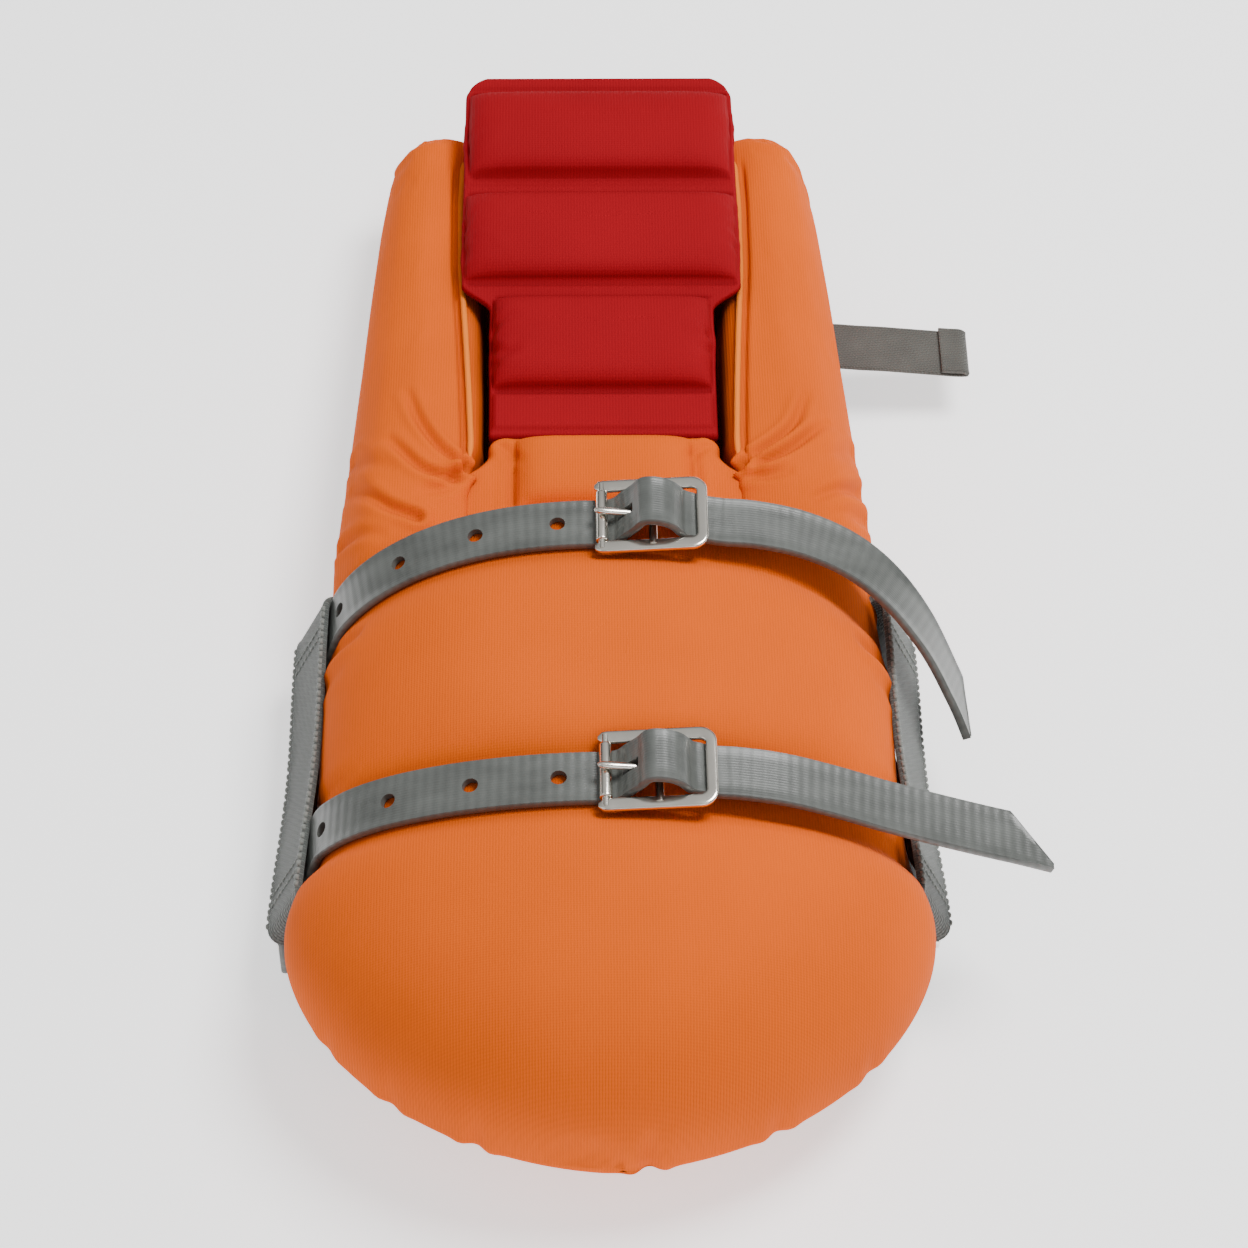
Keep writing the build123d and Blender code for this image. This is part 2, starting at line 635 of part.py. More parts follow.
def make_buckle(ring, name):
    """Centre-bar roller buckle: frame with its three bars, roller and prong."""
    slope = Vector(END_BAR_X - ROLLER_X, 0, ring.bar_z(END_BAR_X) - ring.bar_z(ROLLER_X))
    length = slope.length
    roller = Vector(ROLLER_X, ring.crown_y, ring.bar_z(ROLLER_X))
    centre = Vector(BUCKLE_X, ring.crown_y, ring.bar_z(BUCKLE_X))
    normal = slope.normalized().cross(Vector(0, 1, 0))
    bar_length = 2 * BUCKLE_INNER + 2 * BAR_SEAT
    with BuildPart() as frame:
        with BuildSketch(Plane(origin=roller, x_dir=slope, z_dir=normal)):
            with Locations((length / 2, 0)):
                RectangleRounded(length + 2 * END_BAR_HALF, 2 * BUCKLE_HALF_WIDTH, BUCKLE_CORNER_R)
            with Locations((length / 2 - END_BAR_HALF - 1, 0)):
                Rectangle(length + 2, 2 * BUCKLE_INNER, mode=Mode.SUBTRACT)
        extrude(amount=PLATE_T / 2, both=True)
        for bar, radius in ((roller, BAR_R), (centre, CENTRE_BAR_R)):
            with Locations(Plane(origin=bar, z_dir=(0, 1, 0))):
                Cylinder(radius, bar_length)
    save(frame.part, f"{name}_buckle_frame")

    with BuildPart() as tube:
        with BuildSketch(Plane(origin=roller, z_dir=(0, 1, 0))):
            Circle(ROLLER_R)
            Circle(BAR_R + 0.15, mode=Mode.SUBTRACT)
        extrude(amount=BUCKLE_INNER - 0.3, both=True)
    save(tube.part, f"{name}_buckle_roller")

    direction = ring.prong_direction()
    reach = (BUCKLE_X - ROLLER_X) + PRONG_REACH
    with BuildPart() as prong:
        with Locations(Plane(origin=centre, z_dir=(0, 1, 0))):
            Cylinder(CENTRE_BAR_R + 1.2, 2 * PRONG_R + 0.4)
        with BuildSketch(Plane(origin=centre, z_dir=direction)):
            Circle(PRONG_R)
        extrude(amount=reach)
        fillet(prong.faces().sort_by(Axis.X)[0].edges(), 0.8)
        with Locations(Plane(origin=centre, z_dir=(0, 1, 0))):
            Cylinder(CENTRE_BAR_R + 0.1, 4 * PRONG_R, mode=Mode.SUBTRACT)
    save(prong.part, f"{name}_buckle_prong")


def make_webbing():
    """Side webbing whose ends loop round both straps and are stitched back on themselves."""
    length = webbing_length()
    inner = WEB_GAP
    with BuildPart() as webbing:
        with BuildSketch(webbing_plane()):
            SlotOverall(length, 2 * (inner + WEB_T))
            SlotOverall(length - 2 * WEB_T, 2 * inner, mode=Mode.SUBTRACT)
            with Locations((0, -inner - WEB_T / 2)):
                Rectangle(length - 2 * WEB_LOOP_LENGTH, WEB_T + 1, mode=Mode.SUBTRACT)
        extrude(amount=WEB_WIDTH / 2, both=True)
    save_pair(webbing.part, "side_webbing")


def make_rivets():
    head_z = STRAP_T / 2
    tail_z = WASHER_Z - RIVET_HEAD_T
    with BuildPart() as rivets:
        for plane in rivet_planes():
            with BuildSketch(plane.offset(tail_z)):
                Circle(RIVET_R)
            extrude(amount=head_z - tail_z)
            with BuildSketch(plane.offset(head_z)):
                Circle(RIVET_HEAD_R)
            extrude(amount=RIVET_HEAD_T)
    save(rivets.part, "strap_rivets")
    with BuildPart() as washers:
        for plane in rivet_planes():
            with BuildSketch(plane.offset(tail_z)):
                Circle(WASHER_R)
                Circle(RIVET_R + PIN_FIT, mode=Mode.SUBTRACT)
            extrude(amount=RIVET_HEAD_T)
    save(washers.part, "rivet_washers")


def make_ankle_strap():
    """Elastic strap from under the right wing: a fixed root and a free end."""
    with BuildPart() as root:
        with Locations(((ANKLE_ROOT_X + ANKLE_HINGE_X - TAIL_GAP) / 2, ANKLE_Y, ANKLE_Z)):
            Box(ANKLE_HINGE_X - TAIL_GAP - ANKLE_ROOT_X, ANKLE_WIDTH, ANKLE_T)
    save(root.part, "ankle_strap_root")
    hang = Plane(origin=(ANKLE_HINGE_X, ANKLE_Y, ANKLE_Z),
                 x_dir=(cos(ANKLE_DROOP), 0, -sin(ANKLE_DROOP)),
                 z_dir=(sin(ANKLE_DROOP), 0, cos(ANKLE_DROOP)))
    length = (ANKLE_TIP_X - ANKLE_HINGE_X) / cos(ANKLE_DROOP)
    with BuildPart() as tail:
        with BuildSketch(hang):
            with Locations((length / 2, 0)):
                Rectangle(length, ANKLE_WIDTH)
        extrude(amount=ANKLE_T / 2, both=True)
        with BuildSketch(hang.offset(ANKLE_T / 2)):
            with Locations((length - ANKLE_FOLD / 2, 0)):
                Rectangle(ANKLE_FOLD, ANKLE_WIDTH)
        extrude(amount=ANKLE_T)
    save(tail.part, "ankle_strap_tail")


make_sole()
make_tread()
make_liner()
make_knee_cushion()
make_side_pads()
make_wings()
make_tab()
make_shin_pad()
for ring_name, strap_ring in RINGS.items():
    make_buckled_strap(strap_ring, ring_name)
    make_tail(strap_ring, ring_name)
    make_anchor_strap(strap_ring, ring_name)
    make_buckle(strap_ring, ring_name)
make_webbing()
make_rivets()
make_ankle_strap()
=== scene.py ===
"""Looks of a long strap-on knee pad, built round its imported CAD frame. Lengths are in
millimetres until they reach Blender, and metres from there on."""

import math

import bmesh
import bpy
import numpy as np
from mathutils import Matrix, Vector


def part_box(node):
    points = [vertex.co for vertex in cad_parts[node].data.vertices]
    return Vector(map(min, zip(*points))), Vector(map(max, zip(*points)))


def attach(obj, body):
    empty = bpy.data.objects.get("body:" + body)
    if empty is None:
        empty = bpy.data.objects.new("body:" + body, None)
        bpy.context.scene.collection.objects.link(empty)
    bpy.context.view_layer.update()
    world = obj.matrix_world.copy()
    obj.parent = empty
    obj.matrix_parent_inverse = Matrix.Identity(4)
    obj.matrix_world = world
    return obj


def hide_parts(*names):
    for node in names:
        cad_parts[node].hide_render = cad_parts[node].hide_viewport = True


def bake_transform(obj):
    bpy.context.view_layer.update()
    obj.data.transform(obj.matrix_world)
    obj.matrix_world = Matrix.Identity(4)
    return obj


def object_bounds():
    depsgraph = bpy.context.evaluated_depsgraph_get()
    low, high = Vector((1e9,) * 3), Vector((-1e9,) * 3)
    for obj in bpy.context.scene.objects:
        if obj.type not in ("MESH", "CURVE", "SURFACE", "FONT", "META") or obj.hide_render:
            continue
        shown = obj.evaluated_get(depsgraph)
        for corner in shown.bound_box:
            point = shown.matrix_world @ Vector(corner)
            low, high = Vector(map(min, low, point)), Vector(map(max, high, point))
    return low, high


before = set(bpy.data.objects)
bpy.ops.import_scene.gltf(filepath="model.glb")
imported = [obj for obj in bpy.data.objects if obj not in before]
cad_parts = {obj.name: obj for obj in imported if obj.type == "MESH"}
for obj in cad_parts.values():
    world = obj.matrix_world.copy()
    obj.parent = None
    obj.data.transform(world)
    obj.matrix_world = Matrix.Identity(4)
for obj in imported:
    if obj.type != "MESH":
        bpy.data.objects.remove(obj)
CAD_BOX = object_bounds()
MM = 0.001

# ---- Sizes shared with the CAD design ----
TOE_Y, TOE_CENTRE_Y = -179.0, -99.0
SOLE_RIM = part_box("sole_shell")[1].z / MM
STRAP_WIDTH, STRAP_T = 18.0, 2.4
LAYER = STRAP_T + 0.25
ROLLER_X, BUCKLE_X, END_BAR_X, TAIL_X = -1.5, 14.0, 29.0, 33.0
ROLLER_LIFT, END_BAR_LIFT = 3.5, 8.2
CENTRE_BAR_R = 1.4
ARCH_Z, SIDE_TOP_Z, SIDE_LOW_Z = 40.0, 50.0, 22.0
SIDE_LEAN, SIDE_SHEAR = 0.42, 0.33
FOOT_Z = 5.5
HOLE_R, HOLE_PITCH, HOLE_COUNT, FIRST_HOLE_X = 2.4, 25.4, 4, -14.5
FOLD_BACK_X = 42.0
WING_HINGE_X, WING_HINGE_Z = 58.0, 20.6
WEB_MID_Z, WEB_WIDTH, WEB_T, WEB_GAP, WEB_END_ROOM = 34.0, 26.0, 1.8, 2.5, 15.5

RNG = np.random.default_rng(7)


# ---- Small numeric helpers ----
def smooth(low, high, value):
    t = np.clip((np.asarray(value, float) - low) / (high - low), 0, 1)
    return t * t * (3 - 2 * t)


def curve_through(points, count):
    """Evenly spaced points on a centripetal Catmull-Rom curve through the given ones."""
    points = np.asarray(points, float)
    padded = np.vstack([2 * points[0] - points[1], points, 2 * points[-1] - points[-2]])
    dense = []
    for i in range(1, len(padded) - 2):
        p0, p1, p2, p3 = padded[i - 1:i + 3]
        knots = [0.0]
        for a, b in ((p0, p1), (p1, p2), (p2, p3)):
            knots.append(knots[-1] + max(np.linalg.norm(b - a), 1e-6) ** 0.5)
        k0, k1, k2, k3 = knots
        t = np.linspace(k1, k2, 24, endpoint=False)[:, None]
        a1 = (k1 - t) / (k1 - k0) * p0 + (t - k0) / (k1 - k0) * p1
        a2 = (k2 - t) / (k2 - k1) * p1 + (t - k1) / (k2 - k1) * p2
        a3 = (k3 - t) / (k3 - k2) * p2 + (t - k2) / (k3 - k2) * p3
        b1 = (k2 - t) / (k2 - k0) * a1 + (t - k0) / (k2 - k0) * a2
        b2 = (k3 - t) / (k3 - k1) * a2 + (t - k1) / (k3 - k1) * a3
        dense.append((k2 - t) / (k2 - k1) * b1 + (t - k1) / (k2 - k1) * b2)
    dense = np.vstack(dense + [points[-1:]])
    return resample(dense, count)


def resample(points, count):
    lengths = run_lengths(points)
    at = np.linspace(0, lengths[-1], count)
    return np.column_stack([np.interp(at, lengths, points[:, k]) for k in range(points.shape[1])])


def table(rows, at):
    """Smooth interpolation of listed (position, value, ...) rows."""
    rows = np.asarray(rows, float)
    fine = np.linspace(rows[0, 0], rows[-1, 0], 400)
    values = []
    for k in range(1, rows.shape[1]):
        linear = np.interp(fine, rows[:, 0], rows[:, k])
        padded = np.pad(linear, 12, mode="reflect", reflect_type="odd")
        window = np.hanning(25)
        values.append(np.interp(at, fine, np.convolve(padded, window / window.sum(), "valid")))
    return values


def around(count):
    """Cosines and sines of evenly spaced angles, as two columns."""
    angle = np.linspace(0, 2 * math.pi, count, endpoint=False)[:, None]
    return np.cos(angle), np.sin(angle)


def run_lengths(path):
    """Distance walked along a path up to each of its points."""
    return np.r_[0, np.cumsum(np.linalg.norm(np.diff(path, axis=0), axis=1))]


# ---- Mesh helpers ----
def link_object(name, data):
    obj = bpy.data.objects.new(name, data)
    bpy.context.scene.collection.objects.link(obj)
    return obj


def shade_smooth(mesh):
    mesh.polygons.foreach_set("use_smooth", [True] * len(mesh.polygons))


def new_object(name, verts, faces, uv=None):
    mesh = bpy.data.meshes.new(name)
    mesh.from_pydata((np.asarray(verts, float) * MM).tolist(), [], faces)
    if uv is not None:
        layer = mesh.uv_layers.new(name="run")
        loops = np.empty(len(mesh.loops), int)
        mesh.loops.foreach_get("vertex_index", loops)
        layer.data.foreach_set("uv", np.asarray(uv, float)[loops].ravel())
    shade_smooth(mesh)
    return link_object(name, mesh)


def tube_faces(rows, columns, closed=False):
    """Quads of a tube of rings, with both end rings capped or, if closed, joined."""
    faces = []
    for i in range(rows if closed else rows - 1):
        for j in range(columns):
            m, k = (i + 1) % rows, (j + 1) % columns
            faces.append((i * columns + j, i * columns + k, m * columns + k, m * columns + j))
    if not closed:
        faces.append(tuple(reversed(range(columns))))
        faces.append(tuple(range((rows - 1) * columns, rows * columns)))
    return faces


def ring_loft(name, rings, uv=None, closed=False):
    """Closed body through rings of equal point counts, shape (rows, columns, 3)."""
    rings = np.asarray(rings, float)
    rows, columns, _ = rings.shape
    obj = new_object(name, rings.reshape(-1, 3), tube_faces(rows, columns, closed), uv)
    repair_normals(obj)
    return obj


def oval_tube(name, centres, u, v, sizes, count):
    """Body of oval rings along the centres. sizes are its half-measures along u and v."""
    cos, sin = around(count)
    rings = [centre + u * cos * w + v * sin * h for centre, (w, h) in zip(centres, sizes)]
    return ring_loft(name, rings)


def repair_normals(obj):
    bm = bmesh.new()
    bm.from_mesh(obj.data)
    bmesh.ops.recalc_face_normals(bm, faces=bm.faces)
    bm.to_mesh(obj.data)
    bm.free()


def vertex_values(mesh, what):
    values = np.empty(len(mesh.vertices) * 3)
    mesh.vertices.foreach_get(what, values)
    return values.reshape(-1, 3)


def coords(obj):
    return vertex_values(obj.data, "co") / MM


def normals(obj):
    return vertex_values(obj.data, "normal")


def set_coords(obj, co):
    obj.data.vertices.foreach_set("co", (co * MM).ravel())
    obj.data.update()


def apply_modifiers(obj):
    depsgraph = bpy.context.evaluated_depsgraph_get()
    mesh = bpy.data.meshes.new_from_object(obj.evaluated_get(depsgraph))
    obj.modifiers.clear()
    old = obj.data
    obj.data = mesh
    bpy.data.meshes.remove(old)


def subdivide(obj, levels):
    modifier = obj.modifiers.new("subdivision", "SUBSURF")
    modifier.levels = modifier.render_levels = levels
    bpy.context.view_layer.update()
    apply_modifiers(obj)
    shade_smooth(obj.data)


def join(name, objects):
    """One object from several, keeping their UVs."""
    bm = bmesh.new()
    for obj in objects:
        bm.from_mesh(obj.data)
    mesh = bpy.data.meshes.new(name)
    bm.to_mesh(mesh)
    bm.free()
    for obj in objects:
        bpy.data.objects.remove(obj)
    shade_smooth(mesh)
    return link_object(name, mesh)


PUFF_FRAMES = 20


def puff(obj, held, cap, pressure=4.0):
    """Swells a padded piece as cloth under pressure. held is 1 where it can't move, and cap
    is the most it swells."""
    before = coords(obj)
    group = obj.vertex_groups.new(name="held")
    for weight in np.unique(np.round(held, 1)):
        members = np.flatnonzero(np.round(held, 1) == weight).tolist()
        group.add(members, float(weight), "REPLACE")
    cloth = obj.modifiers.new("cloth", "CLOTH")
    settings = cloth.settings
    settings.use_pressure = True
    settings.uniform_pressure_force = pressure
    settings.quality = 4
    settings.mass = 0.3
    settings.tension_stiffness = 25
    settings.compression_stiffness = 15
    settings.bending_stiffness = 1.5
    settings.vertex_group_mass = "held"
    settings.effector_weights.gravity = 0
    cloth.collision_settings.use_collision = False
    scene = bpy.context.scene
    for number in range(1, PUFF_FRAMES + 1):
        scene.frame_set(number)
    depsgraph = bpy.context.evaluated_depsgraph_get()
    mesh = bpy.data.meshes.new_from_object(obj.evaluated_get(depsgraph))
    move = vertex_values(mesh, "co") / MM - before
    bpy.data.meshes.remove(mesh)
    obj.modifiers.clear()
    scene.frame_set(1)
    length = np.linalg.norm(move, axis=1, keepdims=True)
    limited = cap * np.tanh(length / cap)
    set_coords(obj, before + move * limited / np.maximum(length, 1e-9))


def fold_shape(points, path, half, fade, swell, swell_at):
    """Height of a fold at each point: a groove along the path, between two swellings."""
    gaps = np.linalg.norm(points[:, None] - path[None], axis=2)
    closest = gaps.argmin(1)
    d = gaps[np.arange(len(points)), closest] / half
    return fade[closest] * (swell * np.exp(-(d - swell_at) ** 2) - np.exp(-d * d))


def press_creases(obj, creases):
    """Fabric folds: each is (points, depth, half-width), deepest at its first point."""
    co = coords(obj)
    no = normals(obj)
    shift = np.zeros(len(co))
    fade = np.linspace(1, 0, 40) ** 0.6
    for points, depth, half in creases:
        path = curve_through(points, len(fade))
        low, high = path.min(0) - 6 * half, path.max(0) + 6 * half
        near = np.flatnonzero(np.all((co > low) & (co < high), axis=1))
        if len(near):
            shift[near] += depth * fold_shape(co[near], path, half, fade, 0.45, 2.1)
    set_coords(obj, co + no * shift[:, None])


# ---- Strap paths ----
class Ring:
    """The path of one strap round the pad, through the middle of its thickness."""

    def __init__(self, crown_y, crown_z, sweep, side_x, foot_x):
        self.crown_y = crown_y
        self.rise = crown_z - ARCH_Z
        self.sweep = sweep
        self.foot_x = foot_x
        self.top_x = side_x - SIDE_LEAN * (SIDE_TOP_Z - SIDE_LOW_Z)
        self.arch_x = self.top_x / math.sqrt(1 - ((SIDE_TOP_Z - ARCH_Z) / self.rise) ** 2)
        self.foot_y = self.side(SIDE_LOW_Z)[1] - 2.0

    def arch(self, x):
        return ARCH_Z + self.rise * math.sqrt(max(1 - (x / self.arch_x) ** 2, 0))

    def y(self, x):
        return self.crown_y - self.sweep * np.abs(np.asarray(x, float) / self.arch_x) ** 3

    def over(self, x, lift=0.0):
        return (x, float(self.y(x)), self.arch(x) + lift)

    def side(self, z):
        drop = SIDE_TOP_Z - z
        return (self.top_x + SIDE_LEAN * drop, float(self.y(self.top_x)) - SIDE_SHEAR * drop, z)

    def flank(self):
        low = self.side(SIDE_LOW_Z)
        points = [self.over(self.arch_x * share) for share in (0.72, 0.8, 0.87, 0.93)]
        points += [self.side(z) for z in (SIDE_TOP_Z, 42.0, 32.0, SIDE_LOW_Z)]
        points.append(((low[0] + 2 * self.foot_x) / 3, low[1] - 1.5, 17.5))
        points += [(self.foot_x, self.foot_y, z) for z in (15.0, FOOT_Z)]
        return points

    def left_flank(self):
        return [(-x, y, z) for x, y, z in reversed(self.flank())]

    def bar_z(self, x):
        start = self.arch(ROLLER_X) + ROLLER_LIFT
        end = self.arch(END_BAR_X) + END_BAR_LIFT
        return start + (end - start) * (x - ROLLER_X) / (END_BAR_X - ROLLER_X)

    def pinch(self, co, reach):
        """Draws a soft surface in under the strap, over the given reach past its edges."""
        x, y, z = co.T
        gap = STRAP_T / 2 + 0.4
        rho = np.hypot(x / (self.arch_x - gap), np.maximum(z - ARCH_Z, 0) / (self.rise - gap))
        over_arch = z >= SIDE_TOP_Z
        shrink = np.where(over_arch, 1 / np.maximum(rho, 1), 1.0)
        limit = self.top_x + SIDE_LEAN * (SIDE_TOP_Z - z) - gap
        x_limit = np.where(over_arch, np.abs(x) * shrink, np.minimum(np.abs(x), limit))
        target = np.column_stack([np.sign(x) * x_limit, y,
                                  np.where(over_arch, ARCH_Z + (z - ARCH_Z) * shrink, z)])
        line = np.where(over_arch, self.y(x_limit),
                        self.y(self.top_x) - SIDE_SHEAR * (SIDE_TOP_Z - z))
        away = np.maximum(np.abs(y - line) - STRAP_WIDTH / 2 - 0.4, 0)
        k = np.exp(-(away / reach) ** 1.3)[:, None]
        return co * (1 - k) + target * k, k[:, 0]


UPPER = Ring(crown_y=13.0, crown_z=81.5, sweep=11.0, side_x=94.5, foot_x=89.5)
LOWER = Ring(crown_y=-82.0, crown_z=82.5, sweep=-2.5, side_x=98.0, foot_x=98.0)
RINGS = {"upper": UPPER, "lower": LOWER}
TAILS = {
    "upper": [(45, 12.4, 81.8), (60, 11.2, 78.3), (75, 7.2, 72.8), (87, 0.6, 65.8),
              (98, -9.0, 55.5), (107, -19.5, 42.0), (113, -27.0, 30.5)],
    "lower": [(50, -82.6, 82.2), (65, -83.5, 77.2), (80, -84.8, 71.5), (97, -86, 65.5),
              (114, -87, 59.8), (130, -87.5, 54.5)],
}


# ---- Materials ----
WAVE_SCALE = math.pi / 10  # of Blender's wave texture, for one band to a metre


class Shader:
    """A node material with short calls for what the pad's surfaces need."""

    def __init__(self, name, color, roughness, metallic=0.0, **sockets):
        self.material = bpy.data.materials.new(name)
        self.material.use_nodes = True
        self.nodes = self.material.node_tree.nodes
        self.links = self.material.node_tree.links
        self.bsdf = self.nodes["Principled BSDF"]
        self.set_inputs(self.bsdf, Base_Color=(*color, 1), Roughness=roughness,
                        Metallic=metallic, **sockets)
        self.place = self.node("TexCoord").outputs["Object"]
        self.height = None

    def set_inputs(self, node, **inputs):
        """Sets a value on each named input, or links an output to it."""
        for name, value in inputs.items():
            socket = node.inputs[name.replace("_", " ")]
            if isinstance(value, bpy.types.NodeSocket):
                self.links.new(value, socket)
            else:
                socket.default_value = value

    def node(self, kind, **inputs):
        node = self.nodes.new("ShaderNode" + kind)
        self.set_inputs(node, **inputs)
        return node

    def uv(self):
        node = self.node("UVMap")
        node.uv_map = "run"
        return node.outputs["UV"]

    def stretch(self, vector, scale):
        return self.node("Mapping", Vector=vector, Scale=scale).outputs["Vector"]

    def noise(self, scale, detail=2.0, vector=None):
        node = self.node("TexNoise", Vector=vector or self.place, Scale=scale, Detail=detail)
        return node.outputs["Fac"]

    def wave(self, vector, direction, pitch, distortion=0.0):
        """Bands of the given pitch in metres, from 0 to 1."""
        node = self.node("TexWave", Vector=vector, Scale=WAVE_SCALE / pitch,
                         Distortion=distortion, Detail=1.0, Detail_Scale=2.0)
        node.bands_direction = direction
        return node.outputs["Fac"]

    def math(self, operation, a, b):
        node = self.node("Math")
        node.operation = operation
        for socket, value in zip(node.inputs, (a, b)):
            if isinstance(value, bpy.types.NodeSocket):
                self.links.new(value, socket)
            else:
                socket.default_value = value
        return node.outputs[0]

    def total(self, *parts):
        """Weighted sum of outputs, given as (output, weight)."""
        result = None
        for output, weight in parts:
            part = output if weight == 1 else self.math("MULTIPLY", output, weight)
            result = self.math("ADD", result, part) if result else part
        return result

    def ramp(self, factor, stops):
        node = self.node("ValToRGB", Fac=factor)
        ramp = node.color_ramp
        while len(ramp.elements) < len(stops):
            ramp.elements.new(0.5)
        for element, (at, color) in zip(ramp.elements, stops):
            element.position = at
            element.color = (*color, 1)
        return node.outputs["Color"]

    def color(self, output):
        self.set_inputs(self.bsdf, Base_Color=output)

    def paint_hollow_shade(self, output, reach):
        """Paints shade into a colour in folds and seams, where little light gets in: ambient
        occlusion multiplied into the colour.
        """
        painted_shade = self.node("AmbientOcclusion", Color=output, Distance=reach)
        painted_shade.samples = 8
        mix = self.node("Mix", Factor=0.6)
        mix.data_type = "RGBA"
        mix.blend_type = "MULTIPLY"
        self.set_inputs(mix, A=output, B=painted_shade.outputs["AO"])
        return mix.outputs["Result"]

    def roughness(self, output, low, high):
        node = self.node("MapRange", Value=output, To_Min=low, To_Max=high)
        self.set_inputs(self.bsdf, Roughness=node.outputs["Result"])

    def bump(self, height, distance, strength=1.0):
        """Adds a bump layer; layers are chained."""
        node = self.node("Bump", Height=height, Distance=distance, Strength=strength)
        if self.height:
            self.set_inputs(node, Normal=self.height)
        self.height = node.outputs["Normal"]
        self.set_inputs(self.bsdf, Normal=self.height)


def shade_of(color, factor):
    return tuple(min(c * factor, 1.0) for c in color)


def knit(name, color, rib_pitch, sheen):
    """Warp-knitted cover: fine ribs along the pad, crossed by small stitches."""
    shader = Shader(name, color, 0.8, Sheen_Weight=sheen, Sheen_Roughness=0.4,
                    Sheen_Tint=(*shade_of(color, 1.2), 1), Specular_IOR_Level=0.12)
    ribs = shader.wave(shader.place, "X", rib_pitch * MM, 0.6)
    stitches = shader.wave(shader.place, "Y", rib_pitch * 0.8 * MM, 1.2)
    knit_height = shader.total((ribs, 1), (stitches, 0.35))
    fuzz = shader.noise(2200, 2)
    tone = shader.total((shader.noise(22, 3), 0.5), (knit_height, 0.2), (fuzz, 0.14))
    # The knit colour carries painted shade in its folds and seams.
    shader.color(shader.paint_hollow_shade(shader.ramp(tone, [(0.2, shade_of(color, 0.82)), (0.5, color),
                                                  (0.8, shade_of(color, 1.08))]), 0.008))
    shader.roughness(fuzz, 0.78, 0.95)
    shader.bump(knit_height, 0.00012, 0.45)
    shader.bump(fuzz, 0.00008, 0.4)
    shader.bump(shader.noise(60, 2), 0.0006, 0.25)
    return shader.material


def coated_strap(name, color):
    """Plastic-coated webbing: faint cross ribs showing through a semi-gloss coat."""
    shader = Shader(name, color, 0.4, Coat_Weight=0.25, Coat_Roughness=0.3)
    run = shader.uv()
    ribs = shader.wave(run, "X", 3.2 * MM, 0.5)
    threads = shader.wave(run, "Y", 0.9 * MM, 0.8)
    scuff = shader.noise(60, 4, shader.stretch(shader.place, (1, 2.5, 1)))
    tone = shader.total((scuff, 0.88), (ribs, 0.12))
    shader.color(shader.ramp(tone, [(0.25, shade_of(color, 0.72)), (0.55, color),
                                    (0.8, shade_of(color, 1.22))]))
    shader.roughness(scuff, 0.3, 0.52)
    shader.bump(ribs, 0.00022, 0.4)
    shader.bump(threads, 0.00006, 0.5)
    shader.bump(shader.noise(900, 2), 0.00008, 0.4)
    return shader.material


def woven(name, color, pitch, gloss=0.75):
    """Flat woven webbing: warp cords along it, crossed by a finer weft."""
    shader = Shader(name, color, gloss, Sheen_Weight=0.15)
    run = shader.uv()
    cords = shader.wave(run, "Y", pitch * MM, 0.4)
    weft = shader.wave(run, "X", pitch * 0.7 * MM, 0.4)
    twill = shader.wave(run, "DIAGONAL", pitch * 0.9 * MM, 0.3)
    cloth = shader.total((cords, 0.45), (shader.math("MULTIPLY", weft, twill), 0.55))
    tone = shader.total((cloth, 0.6), (shader.noise(90, 3), 0.4))
    shader.color(shader.ramp(tone, [(0.2, shade_of(color, 0.5)), (0.5, color),
                                    (0.85, shade_of(color, 1.45))]))
    shader.bump(cloth, 0.0004, 0.8)
    return shader.material


def metal(name, color, low, high):
    """Plated steel with faint polishing marks."""
    shader = Shader(name, color, low, metallic=1.0)
    marks = shader.noise(500, 3, shader.stretch(shader.place, (1, 0.12, 1)))
    shader.roughness(marks, low, high)
    shader.color(shader.ramp(shader.noise(90, 3), [(0.3, shade_of(color, 0.9)), (0.7, color)]))
    shader.bump(marks, 0.00002, 0.4)
    return shader.material


def rubber(name, color):
    shader = Shader(name, color, 0.7)
    dust = shader.noise(45, 5)
    shader.color(shader.ramp(dust, [(0.35, color), (0.7, shade_of(color, 1.7))]))
    shader.roughness(dust, 0.6, 0.85)
    shader.bump(shader.noise(700, 2), 0.00015, 0.5)
    return shader.material


def thread(name, color):
    shader = Shader(name, color, 0.75, Sheen_Weight=0.2)
    twist = shader.noise(1500, 2)
    shader.color(shader.ramp(twist, [(0.3, shade_of(color, 0.7)), (0.7, color)]))
    shader.bump(twist, 0.0001, 0.6)
    return shader.material


ORANGE = (0.82, 0.118, 0.0)
RED = (0.31, 0.004, 0.010)
STRAP_GREY = (0.105, 0.112, 0.104)
WEB_GREY = (0.105, 0.115, 0.105)
MATERIALS = {
    "orange_fabric": knit("orange_knit", ORANGE, 0.85, 0.0),
    "red_fabric": knit("red_knit", RED, 1.0, 0.0),
    "strap_grey": coated_strap("coated_grey_strap", STRAP_GREY),
    "webbing_grey": woven("grey_webbing_weave", WEB_GREY, 1.3),
    "dark_strap": woven("smooth_dark_elastic", (0.10, 0.098, 0.085), 0.8, 0.6),
    "nickel": metal("polished_nickel", (0.86, 0.82, 0.74), 0.12, 0.26),
    "sole_rubber": rubber("black_rubber", (0.02, 0.02, 0.021)),
}
THREAD_GREY = thread("grey_thread", (0.22, 0.23, 0.21))
# Lighter orange than the knit, with sheen: a painted highlight so that the piping reads as a bright
# line.
PAINTED_HIGHLIGHT_BINDING = knit("orange_binding_painted_highlight", (1.0, 0.24, 0.02), 0.6, 0.3)


def set_material(obj, material):
    obj.data.materials.clear()
    obj.data.materials.append(material)


def finish_piece(obj, slot, material=None):
    set_material(obj, material or MATERIALS[slot])


